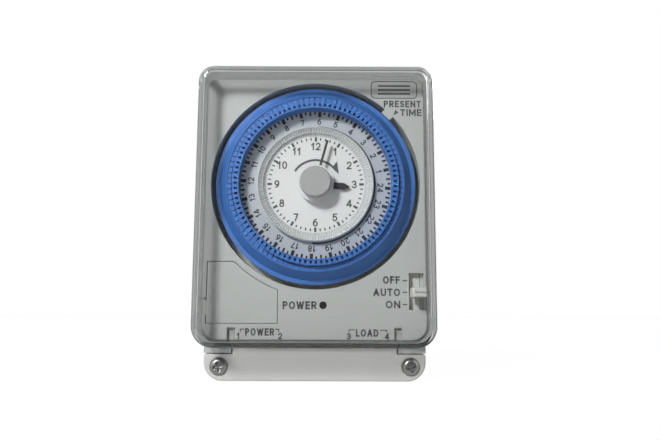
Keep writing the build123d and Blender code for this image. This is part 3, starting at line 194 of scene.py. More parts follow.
# Light: a key lamp to the upper left, a weak fill behind and a pale room
KEY_FROM = (-0.66, -1.0, 0.71)
LAMP_DISTANCE = 1.1
KEY_SIZE = 0.25
KEY_POWER = 11.4
FILL_FROM = (0.55, 1.0, 0.6)
FILL_SIZE = 0.4
FILL_POWER = 2.4
ROOM_LIGHT = 0.03
FRONT_ROOM = 0.06       # the room in front of the part to gloss, as a share of its white backdrop
CLEAR_ROOM = 0.95       # and seen straight through clear plastic
ROOM_FADE = (-0.9, -0.4)  # where the backdrop comes up to full, by a ray's run to the back
FLOOR_FADE = (-0.15, 0.05)  # the same on the floor, by its depth in metres
FLOOR_LIGHT = 1.04
FLOOR_GREY = 0.88
FLOOR_ROUGHNESS = 0.9
FLOOR_SIZE = 3.0
FLOOR_DROP = 0.0004
FLOOR_GLOW = 0.94       # share of the floor that is plain white to the eye


# Mesh helpers

def to_part(points, front):
    """Carries points of the dial's plane to the frame: x, y up, z towards the reader, from a front plane."""
    x, y, z = np.asarray(points, float).T
    return np.stack([AXIS_X + x * MM, front - z * MM, AXIS_Z + y * MM], -1)


def make_piece(name, points, faces, material, body, smooth=False):
    """New mesh object from points and faces, riding on a body of the frame."""
    mesh = bpy.data.meshes.new(name)
    mesh.from_pydata(np.asarray(points).tolist(), [], [tuple(face) for face in faces])
    mesh.validate()
    mesh.polygons.foreach_set("use_smooth", np.full(len(mesh.polygons), smooth))
    mesh.update()
    mesh.materials.append(material)
    piece = bpy.data.objects.new(name, mesh)
    bpy.context.scene.collection.objects.link(piece)
    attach(piece, body)
    return piece


def join(shapes):
    """Puts (points, faces) shapes together as one."""
    starts = np.cumsum([0] + [len(points) for points, _ in shapes])
    points = np.concatenate([points for points, _ in shapes])
    faces = [tuple(np.asarray(face) + start) for (_, own), start in zip(shapes, starts) for face in own]
    return points, faces


def closed_grid(rows, cols):
    """Quads of a rows x cols grid whose columns close on themselves."""
    row, col = np.meshgrid(np.arange(rows - 1), np.arange(cols), indexing="ij")
    after = (col + 1) % cols
    start = row * cols
    end = start + cols
    return np.stack([start + col, start + after, end + after, end + col], -1).reshape(-1, 4)


def seam(rows, cols):
    """Quads that join the last row of a closed grid to its first."""
    col = np.arange(cols)
    after = (col + 1) % cols
    last = (rows - 1) * cols
    return np.stack([last + col, last + after, after, col], -1)


def sweep(section_in, section_out):
    """Flat band of ink: its rectangle section runs from a row of inner points to a row of outer points."""
    inner, outer = np.asarray(section_in, float), np.asarray(section_out, float)
    count = len(inner)
    low, high = np.full((count, 1), -INK_SINK), np.full((count, 1), INK_RISE)
    corners = [np.hstack(pair) for pair in ((inner, low), (inner, high), (outer, high), (outer, low))]
    points = np.stack(corners, 1).reshape(-1, 3)
    faces = [tuple(quad) for quad in closed_grid(count, 4)]
    faces += [(3, 2, 1, 0), tuple(4 * (count - 1) + np.arange(4))]
    return points, faces


def circle_points(radius, angles):
    """Points at a radius and at angles in degrees, counted from the right."""
    turn = np.radians(angles)
    return np.stack([radius * np.cos(turn), radius * np.sin(turn)], -1)


def arc_band(radius, width, start, end, steps):
    """Band of constant width along an arc."""
    angles = np.linspace(start, end, steps)
    return sweep(circle_points(radius - width / 2, angles), circle_points(radius + width / 2, angles))


def tick(spec, angle):
    """Radial bar from an inner to an outer radius."""
    inner, outer, width = spec
    along = np.array([cos(radians(angle)), sin(radians(angle))])
    across = np.array([-along[1], along[0]]) * width / 2
    low = [inner * along - across, inner * along + across]
    high = [outer * along - across, outer * along + across]
    return sweep(low, high)


def stroke(start, end, width):
    """Straight line of ink between two points."""
    start, end = np.asarray(start, float), np.asarray(end, float)
    along = (end - start) / np.linalg.norm(end - start)
    across = np.array([-along[1], along[0]]) * width / 2
    return sweep([start - across, end - across], [start + across, end + across])


def bow(x, y, wide, high, start, end, steps=18):
    """Points along an ellipse about a centre, from one angle to another."""
    turn = np.radians(np.linspace(start, end, steps))
    return np.stack([x + wide * np.cos(turn), y + high * np.sin(turn)], -1)


def pen(path, width):
    """Line of ink along a path: half its width to either side of the running direction, with square ends."""
    path = np.array(path, float)
    closed = np.allclose(path[0], path[-1])
    run = np.gradient(path, axis=0)
    if closed:
        run[0] = run[-1] = path[1] - path[-2]
    run /= np.linalg.norm(run, axis=1, keepdims=True)
    if not closed:
        path[0] -= run[0] * width / 2
        path[-1] += run[-1] * width / 2
    side = np.stack([-run[:, 1], run[:, 0]], -1) * width / 2
    return sweep(path - side, path + side)


# Plain signs: width against height, then the pen's paths in a unit box
UPRIGHT = [(0, 0), (0, 1)]
ROUND_STEM = [(0, 1), (0.5, 1), *bow(0.55, 0.74, 0.45, 0.26, 90, -90), (0.5, 0.48), (0, 0.48)]
SIX = [bow(0.5, 0.32, 0.5, 0.32, 0, 360, 30), bow(0.9, 0.34, 0.9, 0.66, 178, 98)]
SIGNS = {
    "0": (0.64, [bow(0.5, 0.5, 0.5, 0.5, 0, 360, 34)]),
    "1": (0.44, [[(0.75, 0), (0.75, 1)], [(0.75, 0.96), (0.05, 0.72)]]),
    "2": (0.62, [[*bow(0.5, 0.69, 0.5, 0.31, 165, -32), (0.02, 0.03)], [(0, 0), (1, 0)]]),
    "3": (0.62, [bow(0.46, 0.75, 0.46, 0.25, 155, -90), bow(0.47, 0.26, 0.53, 0.26, 90, -155)]),
    "4": (0.70, [[(0.74, 0), (0.74, 1)], [(0.7, 0.97), (0.02, 0.3)], [(0, 0.24), (1, 0.24)]]),
    "5": (0.62, [[(0.92, 1), (0.14, 1)], [(0.14, 1), (0.07, 0.5)], bow(0.48, 0.33, 0.52, 0.33, 132, -155)]),
    "6": (0.62, SIX),
    "7": (0.60, [[(0, 1), (1, 1)], [(0.97, 0.97), (0.36, 0)]]),
    "8": (0.62, [bow(0.5, 0.76, 0.42, 0.24, 0, 360, 26), bow(0.5, 0.27, 0.5, 0.27, 0, 360, 30)]),
    "9": (0.62, [1 - path for path in SIX]),
    "A": (0.78, [[(0.03, 0), (0.5, 0.97)], [(0.5, 0.97), (0.97, 0)], [(0.22, 0.33), (0.78, 0.33)]]),
    "D": (0.72, [UPRIGHT, [(0, 1), (0.4, 1), *bow(0.45, 0.5, 0.55, 0.5, 90, -90), (0.4, 0), (0, 0)]]),
    "E": (0.60, [UPRIGHT, [(0, 1), (1, 1)], [(0, 0.52), (0.88, 0.52)], [(0, 0), (1, 0)]]),
    "F": (0.58, [UPRIGHT, [(0, 1), (1, 1)], [(0, 0.52), (0.88, 0.52)]]),
    "I": (0.18, [[(0.5, 0), (0.5, 1)]]),
    "L": (0.56, [UPRIGHT, [(0, 0), (1, 0)]]),
    "M": (0.88, [UPRIGHT, [(0.03, 0.97), (0.5, 0.2)], [(0.5, 0.2), (0.97, 0.97)], [(1, 0), (1, 1)]]),
    "N": (0.72, [UPRIGHT, [(0.04, 0.95), (0.96, 0.05)], [(1, 0), (1, 1)]]),
    "O": (0.80, [bow(0.5, 0.5, 0.5, 0.5, 0, 360, 34)]),
    "P": (0.64, [UPRIGHT, ROUND_STEM]),
    "R": (0.68, [UPRIGHT, ROUND_STEM, [(0.52, 0.46), (0.96, 0.04)]]),
    "S": (0.62, [[*bow(0.5, 0.75, 0.46, 0.25, 28, 250), *bow(0.5, 0.26, 0.5, 0.26, 70, -152)]]),
    "T": (0.64, [[(0, 1), (1, 1)], [(0.5, 0), (0.5, 1)]]),
    "U": (0.70, [[(0, 1), (0, 0.45), *bow(0.5, 0.38, 0.5, 0.38, 180, 360), (1, 0.45), (1, 1)]]),
    "W": (1.02, [[(0, 1), (0.25, 0.03)], [(0.25, 0.03), (0.5, 0.9)],
                 [(0.5, 0.9), (0.75, 0.03)], [(0.75, 0.03), (1, 1)]]),
}
SIGN_GAP = 0.15
NUMBER_WEIGHT = 0.165
WORD_WEIGHT = 0.215


def letters(text, width, height, weight):
    """Row of plain signs, centred: each unit box is set to its place in the row, less the pen's width.

    The weight is a share of the height, and width None keeps the signs' own."""
    weight = weight * height
    wide = np.array([SIGNS[sign][0] for sign in text])
    total = wide.sum() + SIGN_GAP * (len(text) - 1)
    share = width / total if width else height
    starts = (np.cumsum(wide + SIGN_GAP) - wide - SIGN_GAP - total / 2) * share
    shapes = []
    for sign, start, room in zip(text, starts, wide * share):
        low = (start + weight / 2, (weight - height) / 2)
        size = (max(room - weight, 0.0), height - weight)
        shapes += [pen(np.array(low) + np.array(path) * size, weight) for path in SIGNS[sign][1]]
    return join(shapes)


def moved(shape, x, y, turn=0.0):
    """Turns a shape in the dial's plane, in degrees, and sets it down at a point."""
    points, faces = shape
    c, s = cos(radians(turn)), sin(radians(turn))
    spun = points @ np.array([[c, s, 0], [-s, c, 0], [0, 0, 1]])
    return spun + np.array([x, y, 0]), faces


# Materials

def linear(red, green, blue):
    """Scene colour of a screen colour given in 0 to 255."""
    screen = np.array([red, green, blue]) / 255
    value = np.where(screen <= 0.04045, screen / 12.92, ((screen + 0.055) / 1.055) ** 2.4)
    return (*(float(v) for v in value), 1.0)


def put(tree, socket, value):
    """Sets a socket to a value, or links another socket to it."""
    if isinstance(value, bpy.types.NodeSocket):
        tree.links.new(value, socket)
    else:
        socket.default_value = value


def add(tree, kind, **inputs):
    """New node with some of its sockets set or linked; an underscore stands for a space."""
    node = tree.nodes.new(kind)
    for name, value in inputs.items():
        put(tree, node.inputs[name.replace("_", " ")], value)
    return node


def maths(tree, operation, *values, kind="ShaderNodeMath"):
    """Output of a maths node over numbers or sockets, in order."""
    node = tree.nodes.new(kind)
    node.operation = operation
    for socket, value in zip(node.inputs, values):
        put(tree, socket, value)
    return node.outputs["Value" if operation == "DISTANCE" else 0]


def vectors(tree, operation, *values):
    """Output of a maths node over vectors, in order."""
    return maths(tree, operation, *values, kind="ShaderNodeVectorMath")


def ramp(tree, value, low, high, start=0.0, end=1.0):
    """Output that runs from start to end while a value runs from low to high."""
    node = add(tree, "ShaderNodeMapRange", Value=value, From_Min=low, From_Max=high, To_Min=start, To_Max=end)
    return node.outputs[0]


def blend(tree, factor, first, second):
    """Output that goes from a first to a second colour."""
    node = tree.nodes.new("ShaderNodeMix")
    node.data_type = "RGBA"
    for name, value in (("Factor", factor), ("A", first), ("B", second)):
        put(tree, node.inputs[name], value)
    return node.outputs["Result"]


def finish_group(name, stretch):
    """Group that gives a surface its mottling, uneven gloss and fine relief; stretch draws the grain out."""
    tree = bpy.data.node_groups.new(name, "ShaderNodeTree")
    for label, kind in (("Colour", "NodeSocketColor"), ("Roughness", "NodeSocketFloat"),
                        ("Grain", "NodeSocketFloat"), ("Spread", "NodeSocketFloat")):
        tree.interface.new_socket(label, in_out="INPUT", socket_type=kind)
    for label, kind in (("Colour", "NodeSocketColor"), ("Roughness", "NodeSocketFloat"),
                        ("Height", "NodeSocketFloat")):
        tree.interface.new_socket(label, in_out="OUTPUT", socket_type=kind)
    source = tree.nodes.new("NodeGroupInput").outputs
    result = tree.nodes.new("NodeGroupOutput").inputs
    place = tree.nodes.new("ShaderNodeTexCoord").outputs["Object"]
    drawn = add(tree, "ShaderNodeMapping", Vector=place, Scale=stretch).outputs["Vector"]
    grain = add(tree, "ShaderNodeTexNoise", Vector=drawn, Scale=source["Grain"], Detail=GRAIN_DETAIL)
    cloud = add(tree, "ShaderNodeTexNoise", Vector=place, Scale=CLOUD_SCALE, Detail=CLOUD_DETAIL)
    fine = grain.outputs["Fac"]
    level = ramp(tree, maths(tree, "ADD", fine, cloud.outputs["Fac"]), *CLOUD_RANGE)
    darkest = maths(tree, "SUBTRACT", 1.0, maths(tree, "MULTIPLY", source["Spread"], 0.5))
    swing = maths(tree, "MULTIPLY_ADD", level, source["Spread"], darkest)
    shade = add(tree, "ShaderNodeHueSaturation", Color=source["Colour"], Value=swing)
    put(tree, result["Colour"], shade.outputs["Color"])
    put(tree, result["Roughness"], maths(tree, "MULTIPLY_ADD", fine, GLOSS_SWING, source["Roughness"]))
    put(tree, result["Height"], fine)
    return tree


MOULDED = finish_group("moulded_finish", (1.0, 1.0, 1.0))
DRAWN = finish_group("drawn_finish", (1.0, 1.0, 0.08))


def surface(name, colour, roughness, grain, spread, relief, group=MOULDED, metallic=0.0, specular=0.5):
    """Opaque finish: a group's mottled colour, gloss and relief, with relief in millimetres."""
    material = bpy.data.materials.new(name)
    material.use_nodes = True
    tree = material.node_tree
    finish = tree.nodes.new("ShaderNodeGroup")
    finish.node_tree = group
    for label, value in (("Colour", linear(*colour)), ("Roughness", roughness),
                         ("Grain", grain), ("Spread", spread)):
        put(tree, finish.inputs[label], value)
    bump = add(tree, "ShaderNodeBump", Strength=1.0, Distance=relief * MM, Height=finish.outputs["Height"])
    shader = tree.nodes["Principled BSDF"].inputs
    put(tree, shader["Metallic"], metallic)
    put(tree, shader["Specular IOR Level"], specular)
    put(tree, shader["Base Color"], finish.outputs["Colour"])
    put(tree, shader["Roughness"], finish.outputs["Roughness"])
    put(tree, shader["Normal"], bump.outputs["Normal"])
    return material


def any_ray(tree, *kinds):
    """Socket that is 1 to rays of any of these kinds."""
    ray = tree.nodes.new("ShaderNodeLightPath").outputs
    found = ray[kinds[0]]
    for kind in kinds[1:]:
        found = maths(tree, "MAXIMUM", found, ray[kind])
    return found


def mix_to_output(tree, factor, first, second):
    """Sends a mix of two shaders to the material's output."""
    mix = tree.nodes.new("ShaderNodeMixShader")
    for socket, value in zip(mix.inputs, (factor, first, second)):
        put(tree, socket, value)
    put(tree, tree.nodes["Material Output"].inputs["Surface"], mix.outputs["Shader"])


def inside_walls(tree):
    """Socket that is 1 between the clear cover's side walls and 0 in them, by the distance from its middle; it
    keeps the painted wall shade off the front.
    """
    low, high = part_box("clear_cover")
    reach = (high - low) / 2
    place = tree.nodes.new("ShaderNodeTexCoord").outputs["Object"]
    offset = vectors(tree, "SUBTRACT", place, (low + high) / 2)
    away = add(tree, "ShaderNodeSeparateXYZ", Vector=vectors(tree, "ABSOLUTE", offset)).outputs
    between = []
    for axis, edge in (("X", reach.x), ("Z", reach.z)):
        wall = edge - WALL_T * MM
        between.append(ramp(tree, away[axis], wall - WALL_SOFT * MM, wall, 1, 0))
    return maths(tree, "MINIMUM", *between)


def clear_plastic(name):
    """Clear moulding with painted grey shade in its side walls, for how dim they look edge-on: it bends what is
    seen, lets light pass and shades under its round edges."""
    material = bpy.data.materials.new(name)
    material.use_nodes = True
    tree = material.node_tree
    shader = tree.nodes["Principled BSDF"]
    put(tree, shader.inputs["Roughness"], CLEAR_ROUGHNESS)
    put(tree, shader.inputs["IOR"], CLEAR_IOR)
    put(tree, shader.inputs["Transmission Weight"], 1.0)
    normal = tree.nodes.new("ShaderNodeNewGeometry").outputs["Normal"]
    x, y, z = add(tree, "ShaderNodeSeparateXYZ", Vector=vectors(tree, "MULTIPLY", normal, normal)).outputs
    front = ramp(tree, y, *FRONT_FACING)
    flat = ramp(tree, maths(tree, "MAXIMUM", maths(tree, "MAXIMUM", x, y), z), *FLAT_FACING)
    # painted shade: the side walls and the band along the front's rim get a grey colour, standing in for how dim
    # they look edge-on
    clear_of_wall_shade = maths(tree, "MINIMUM", front, inside_walls(tree))
    put(tree, shader.inputs["Base Color"], blend(tree, clear_of_wall_shade, linear(*PAINTED_WALL_SHADE), linear(*CLEAR)))
    passed = blend(tree, front, (*[SIDE_PASS] * 3, 1), (*[FRONT_PASS] * 3, 1))
    passing = add(tree, "ShaderNodeBsdfTransparent", Color=blend(tree, flat, (*[EDGE_SHADE] * 3, 1), passed))
    mix_to_output(tree, any_ray(tree, "Is Shadow Ray", "Is Diffuse Ray"), shader.outputs["BSDF"],
                  passing.outputs["BSDF"])
    return material


def hub_and_blade(name):
    """Pale hub with a dark blade outside it: the distance from the dial axis picks the colour."""
    material = surface(name, INK, 0.40, 1800, 0.12, 0.002)
    tree = material.node_tree
    finish = next(node for node in tree.nodes if node.type == "GROUP")
    place = tree.nodes.new("ShaderNodeTexCoord").outputs["Object"]
    flat = vectors(tree, "MULTIPLY", place, (1, 0, 1))
    away = vectors(tree, "DISTANCE", flat, (AXIS_X, 0, AXIS_Z))
    outside = maths(tree, "GREATER_THAN", away, HUB_R * MM)
    put(tree, finish.inputs["Colour"], blend(tree, outside, linear(*FACE_WHITE), linear(*INK)))
    return material


# Screen colours of the finishes
PANEL_GREY = (186, 189, 187)
BASE_GREY = (206, 206, 204)
WHITE = (204, 206, 203)
BLUE = (62, 116, 190)
PLATE_SILVER = (178, 183, 190)
FACE_WHITE = (226, 228, 228)
BEZEL_GREY = (196, 200, 201)
KNOB_GREY = (168, 170, 170)
INK = (50, 52, 54)
PRINT_GREY = (94, 97, 98)
STEEL = (160, 161, 160)
BRASS = (196, 164, 92)
SHEET = (178, 178, 172)
NYLON = (224, 221, 210)
MAGNET = (58, 58, 62)
COPPER = (176, 96, 52)
BLACK = (34, 34, 36)
BOARD_GREEN = (34, 92, 58)
OCHRE = (190, 146, 46)
CELL_GREEN = (48, 112, 74)
LAMP_DARK = (46, 44, 46)
CLEAR = (250, 251, 250)
# painted grey shade for the clear cover's side walls, standing in for how dim they look edge-on; the plastic
# itself is clear
PAINTED_WALL_SHADE = (156, 158, 157)

# Clear plastic: where painted grey shade lies in its side walls, and the share of light that passes each face
CLEAR_ROUGHNESS = 0.02
CLEAR_IOR = 1.49
WALL_T = 1.8            # thickness of the walls that carry the painted grey shade, and how softly it ends
WALL_SOFT = 0.4
FRONT_FACING = (0.45, 0.97)  # square of the normal's Y over which a side turns into a front
FLAT_FACING = (0.62, 0.92)  # square of the normal's largest share over which an edge turns flat
EDGE_SHADE = 0.0
SIDE_PASS = 0.75
FRONT_PASS = 0.98

panel_grey = surface("panel_grey", PANEL_GREY, 0.42, 2600, 0.05, 0.006)
base_grey = surface("base_grey", BASE_GREY, 0.42, 2600, 0.05, 0.006)
white = surface("white", WHITE, 0.40, 2200, 0.05, 0.005)
blue = surface("blue", BLUE, 0.36, 1900, 0.10, 0.006)
plate_silver = surface("plate_silver", PLATE_SILVER, 0.40, 3200, 0.05, 0.003, metallic=0.15)
face_white = surface("face_white", FACE_WHITE, 0.45, 3000, 0.04, 0.003)
bezel_grey = surface("bezel_grey", BEZEL_GREY, 0.32, 2400, 0.05, 0.002)
knob_grey = surface("knob_grey", KNOB_GREY, 0.38, 2200, 0.05, 0.004)
ink = surface("ink", INK, 0.60, 2400, 0.20, 0.002, specular=0.2)
print_grey = surface("print_grey", PRINT_GREY, 0.60, 2400, 0.16, 0.002, specular=0.2)
hand_black = surface("hand_black", INK, 0.50, 1800, 0.12, 0.002, specular=0.2)
zinc = surface("zinc", STEEL, 0.26, 1500, 0.16, 0.004, metallic=1.0)
brass = surface("brass", BRASS, 0.24, 1200, 0.12, 0.003, group=DRAWN, metallic=1.0)
sheet_metal = surface("sheet_metal", SHEET, 0.34, 900, 0.10, 0.003, group=DRAWN, metallic=0.9)
nylon = surface("nylon", NYLON, 0.48, 1600, 0.05, 0.006)
magnet = surface("magnet", MAGNET, 0.44, 1500, 0.12, 0.005, metallic=0.4)
copper = surface("copper", COPPER, 0.30, 1400, 0.18, 0.020, group=DRAWN, metallic=0.8)
black = surface("black", BLACK, 0.46, 2000, 0.14, 0.006)
board_green = surface("board_green", BOARD_GREEN, 0.30, 1300, 0.16, 0.006)
ochre = surface("ochre", OCHRE, 0.26, 900, 0.08, 0.004)
cell_green = surface("cell_green", CELL_GREEN, 0.28, 1000, 0.08, 0.003)
lamp_dark = surface("lamp_dark", LAMP_DARK, 0.18, 1200, 0.10, 0.002)
clear = clear_plastic("clear")
hand_and_hub = hub_and_blade("hand_and_hub")

FINISHES = {
    "panel_grey": panel_grey, "base_grey": base_grey, "clear": clear, "blue": blue, "plate": plate_silver,
    "face": face_white, "bezel": bezel_grey, "ink": hand_black, "knob": knob_grey, "white": white, "steel": zinc,
    "brass": brass, "frame_steel": sheet_metal, "nylon": nylon, "magnet": magnet, "copper": copper,
    "black": black, "board": board_green, "film": ochre, "cell": cell_green, "lamp": lamp_dark,
}
for part in frame["record"]["subparts"]:
    mesh = nodes[part["node"]].data
    mesh.materials.clear()
    mesh.materials.append(FINISHES[part["material_slot"]])
nodes["minute_hand"].data.materials[0] = hand_and_hub


# Print, ribbed bezel and cross-head screws

def hour_print():
    """Scale of the day: a tick for every quarter hour, numbers against the clock, and the night's arc."""
    shapes = []
    for quarter in range(QUARTERS):
        angle = quarter * 360 / QUARTERS + DIAL_TURN
        spec = HOUR_TICK if quarter % 4 == 0 else HALF_TICK if quarter % 2 == 0 else QUARTER_TICK
        shapes.append(tick(spec, angle))
    for hour in range(1, DAY_HOURS + 1):
        angle = hour * 360 / DAY_HOURS + DIAL_TURN
        x, y = circle_points(HOUR_NUMBER_R, angle)
        shapes.append(moved(letters(str(hour), None, HOUR_NUMBER_H, NUMBER_WEIGHT), x, y, angle - 90))
    shapes.append(arc_band(NIGHT_R, NIGHT_W, DIAL_TURN - 90, DIAL_TURN + 90, NIGHT_STEPS))
    return join(shapes)


def face_print():
    """Minute ticks, the twelve hours upright, and the arc that shows which way to turn."""
    shapes = []
    for minute in range(MINUTES):
        shapes.append(tick(MINUTE_TICK if minute % 5 else FIVE_TICK, minute * 360 / MINUTES))
    for hour in range(1, FACE_HOURS + 1):
        x, y = circle_points(FACE_NUMBER_R, 90 - hour * 360 / FACE_HOURS)
        shapes.append(moved(letters(str(hour), None, FACE_NUMBER_H, NUMBER_WEIGHT), x, y))
    shapes.append(arc_band(TURN_ARC_R, TURN_ARC_W, TURN_ARC_TO, TURN_ARC_FROM, TURN_ARC_STEPS))
    root, tip, barb = np.array(TURN_HEAD)
    shapes.append(sweep([root, tip], [barb, tip + (barb - tip) * TURN_HEAD_POINT]))
    return join(shapes)


def panel_print():
    """Words, dashes, the time mark and the bare framed legend on the panel."""
    shapes = []
    for text, left, right, low, high in PANEL_WORDS:
        row = letters(text, right - left, high - low, WORD_WEIGHT)
        shapes.append(moved(row, (left + right) / 2, (low + high) / 2))
    for y in SLIDER_DASH_Y:
        shapes.append(stroke((SLIDER_DASH_X[0], y), (SLIDER_DASH_X[1], y), DASH_W))
    for start, corner, end in BRACKETS:
        shapes += [pen([start, corner], LINE_W), pen([corner, end], LINE_W)]
    tip, upper, right = np.array(MARK)
    shapes.append(sweep([tip, tip + MARK_POINT * (right - tip)], [upper, right]))
    left, right, low, high = LEGEND
    corner = LEGEND_CORNER
    for x, y, start in ((right, high, 0), (left, high, 90), (left, low, 180), (right, low, 270)):
        centre = (x - corner if x == right else x + corner, y - corner if y == high else y + corner)
        shapes.append(moved(arc_band(corner, LINE_W, start, start + 90, CORNER_STEPS), *centre))
    for y in (low, high):
        shapes.append(stroke((left + corner, y), (right - corner, y), LINE_W))
    for x in (left, right):
        shapes.append(stroke((x, low + corner), (x, high - corner), LINE_W))
    for y in LEGEND_ROWS:
        shapes.append(stroke((left + LEGEND_INSET, y), (right - LEGEND_INSET, y), ROW_W))
    return join(shapes)


def ribbed_bezel():
    """Rim round the face: its profile is turned, and both slopes dip by a cosine in ribs, half a rib apart."""
    low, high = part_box("face_bezel")
    outer = (high.x - low.x) / 2 / MM
    top = (FACE_Y - low.y) / MM
    back = (FACE_Y - high.y) / MM
    count = BEZEL_RIBS * RIB_STEPS
    angle = np.linspace(0, 2 * np.pi, count, endpoint=False)
    slope = np.linspace(0, 1, SLOPE_STEPS)
    upper = np.linspace((outer - BEZEL_EDGE, top), (BEZEL_STEP_R, BEZEL_STEP[0]), SLOPE_STEPS)
    lower = np.linspace((BEZEL_STEP_R, BEZEL_STEP[1]), (BEZEL_IN, BEZEL_LIP), SLOPE_STEPS)
    start = [(FACE_R, back), (outer, back), (outer, top - BEZEL_EDGE)]
    radius, height = np.concatenate([start, upper, lower, [(BEZEL_IN, 0), (FACE_R, 0)]]).T
    swell = np.sin(np.pi * slope) ** RIB_SWELL
    plain = np.zeros(3)
    first = np.concatenate([plain, swell, 0 * swell, plain[:2]])
    second = np.concatenate([plain, 0 * swell, swell, plain[:2]])
    wave = RIB_DEPTH * (np.cos(BEZEL_RIBS * angle) - 1) / 2
    shifted = RIB_DEPTH * (np.cos(BEZEL_RIBS * angle + np.pi) - 1) / 2
    z = height[:, None] + first[:, None] * wave + second[:, None] * shifted
    r = np.broadcast_to(radius[:, None], z.shape)
    points = np.stack([r * np.cos(angle), r * np.sin(angle), z], -1).reshape(-1, 3)
    faces = np.concatenate([closed_grid(len(radius), count), seam(len(radius), count)])
    return to_part(points, FACE_Y), faces


def cross_screw(x, y):
    """Pan head turned from its profile, with a cross sunk where either bar of the cross runs; seat at z = 0."""
    angle = np.linspace(0, 2 * np.pi, HEAD_SECTORS, endpoint=False)
    share = np.linspace(HEAD_START, 1, HEAD_RINGS)
    dome = HEAD_H * (1 - DOME_FALL * share ** DOME_POWER)
    radius = np.concatenate([share * HEAD_R, [HEAD_R, SHANK_R, SHANK_R, SHANK_END_R]])
    height = np.concatenate([dome, [0, 0, -SHANK_LENGTH, -SHANK_LENGTH]])
    u = radius[:, None] * np.cos(angle)
    v = radius[:, None] * np.sin(angle)
    along = np.abs(radius[:, None] * np.cos(angle - CROSS_TURN))
    across = np.abs(radius[:, None] * np.sin(angle - CROSS_TURN))
    side = np.clip((CROSS_W - np.minimum(along, across)) / CROSS_SLOPE, 0, 1)
    end = np.clip((CROSS_REACH - np.maximum(along, across)) / CROSS_END, 0, 1)
    sunk = CROSS_DEPTH * side * end
    sunk[HEAD_RINGS:] = 0
    z = np.broadcast_to(height[:, None], u.shape) - sunk
    points = np.stack([u + x, v + y, z], -1).reshape(-1, 3)
    faces = [tuple(quad) for quad in closed_grid(len(radius), HEAD_SECTORS)]
    ring = np.arange(HEAD_SECTORS)
    faces += [tuple(ring[::-1]), tuple((len(radius) - 1) * HEAD_SECTORS + ring)]
    return points, [face[::-1] for face in faces]


def screw_pair(node):
    """Cross-head screws at the left and right end of a node's box, with their heads to the front."""
    low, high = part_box(node)
    x = (high.x - low.x) / 2 / MM - HEAD_R
    y = ((low.z + high.z) / 2 - AXIS_Z) / MM
    points, faces = join([cross_screw(-x, y), cross_screw(x, y)])
    return to_part(points, low.y + HEAD_H * MM), faces


points, faces = hour_print()
make_piece("hour_print", to_part(points, PLATE_Y), faces, ink, "dial")
points, faces = face_print()
make_piece("face_print", to_part(points, FACE_Y), faces, print_grey, "base")
points, faces = panel_print()
make_piece("panel_print", to_part(points, PANEL_Y), faces, print_grey, "base")
points, faces = ribbed_bezel()
bezel = make_piece("ribbed_bezel", points, faces, bezel_grey, "base")
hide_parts("face_bezel")
points, faces = screw_pair("terminal_cover_screws")
screws = make_piece("terminal_cover_cross_screws", points, faces, zinc, "base", smooth=True)
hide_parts("terminal_cover_screws")


# Stage, camera and light

def room_rays(tree, place, depth):
    """Socket that is 1 to the eye. To gloss it falls off towards the front, over a depth, and less so straight
    through clear plastic."""
    ray = tree.nodes.new("ShaderNodeLightPath").outputs
    front = ramp(tree, ray["Glossy Depth"], 0, 1, CLEAR_ROOM, FRONT_ROOM)
    run = add(tree, "ShaderNodeSeparateXYZ", Vector=place).outputs["Y"]
    bent = any_ray(tree, "Is Glossy Ray", "Is Transmission Ray")
    backdrop = maths(tree, "MULTIPLY", bent, ramp(tree, run, *depth, front, 1))
    return maths(tree, "MAXIMUM", any_ray(tree, "Is Camera Ray"), backdrop)


def pale_floor():
    """Floor under the part: white to the eye, with a trace of the part's shadow."""
    material = bpy.data.materials.new("floor")
    material.use_nodes = True
    tree = material.node_tree
    shader = tree.nodes["Principled BSDF"]
    put(tree, shader.inputs["Base Color"], (*[FLOOR_GREY] * 3, 1))
    put(tree, shader.inputs["Roughness"], FLOOR_ROUGHNESS)
    place = tree.nodes.new("ShaderNodeTexCoord").outputs["Object"]
    level = ramp(tree, room_rays(tree, place, FLOOR_FADE), 0, 1, 0, FLOOR_LIGHT)
    glow = add(tree, "ShaderNodeEmission", Strength=level)
    seen = any_ray(tree, "Is Camera Ray", "Is Glossy Ray", "Is Transmission Ray")
    mix_to_output(tree, ramp(tree, seen, 0, 1, 0, FLOOR_GLOW), shader.outputs["BSDF"], glow.outputs["Emission"])
    half = FLOOR_SIZE / 2
    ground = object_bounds()[0][2] - FLOOR_DROP
    corners = [(-half, -half, ground), (half, -half, ground), (half, half, ground), (-half, half, ground)]
    mesh = bpy.data.meshes.new("floor")
    mesh.from_pydata(corners, [], [(0, 1, 2, 3)])
    mesh.materials.append(material)
    floor = bpy.data.objects.new("floor", mesh)
    bpy.context.scene.collection.objects.link(floor)


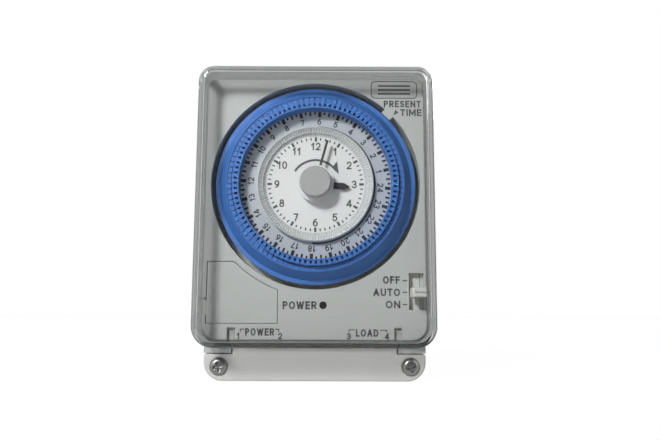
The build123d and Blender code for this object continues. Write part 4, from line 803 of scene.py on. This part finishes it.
def pale_room():
    """White backdrop to the eye and to gloss, darker in front of the part, with a low even light on it."""
    world = bpy.data.worlds.new("room")
    bpy.context.scene.world = world
    world.use_nodes = True
    tree = world.node_tree
    background = tree.nodes["Background"].inputs
    put(tree, background["Color"], (1, 1, 1, 1))
    way = tree.nodes.new("ShaderNodeTexCoord").outputs["Generated"]
    put(tree, background["Strength"], ramp(tree, room_rays(tree, way, ROOM_FADE), 0, 1, ROOM_LIGHT, 1))


def round_lamp(name, place, size, power):
    """Round lamp aimed at the dial from a given side."""
    lamp = bpy.data.lights.new(name, "AREA")
    lamp.shape = "DISK"
    lamp.size = size
    lamp.energy = power
    target = Vector((AXIS_X, PANEL_Y, AXIS_Z))
    way = Vector(place).normalized()
    holder = bpy.data.objects.new(name, lamp)
    holder.location = target + way * LAMP_DISTANCE
    holder.rotation_euler = way.to_track_quat("Z", "Y").to_euler()
    bpy.context.scene.collection.objects.link(holder)


def camera():
    """Camera at the photograph's place: looks along yaw and pitch, then turns by its roll."""
    yaw, pitch, roll = (radians(angle) for angle in (CAMERA_YAW, CAMERA_PITCH, CAMERA_ROLL))
    forward = Vector((sin(yaw) * cos(pitch), cos(yaw) * cos(pitch), sin(pitch)))
    right = Vector((cos(yaw), -sin(yaw), 0))
    up = right.cross(forward)
    side = right * cos(roll) + up * sin(roll)
    above = up * cos(roll) - right * sin(roll)
    data = bpy.data.cameras.new("camera")
    data.sensor_fit = "HORIZONTAL"
    data.sensor_width = SENSOR_MM
    data.lens = FOCAL_PX / IMAGE_W * SENSOR_MM
    data.clip_start = CLIP_START
    holder = bpy.data.objects.new("camera", data)
    turn = Matrix((side, above, -forward)).transposed()
    holder.matrix_world = Matrix.Translation(CAMERA_AT) @ turn.to_4x4()
    bpy.context.scene.collection.objects.link(holder)
    bpy.context.scene.camera = holder


pale_floor()
pale_room()
round_lamp("key", KEY_FROM, KEY_SIZE, KEY_POWER)
round_lamp("fill", FILL_FROM, FILL_SIZE, FILL_POWER)
camera()
bpy.context.scene.view_settings.view_transform = "Standard"
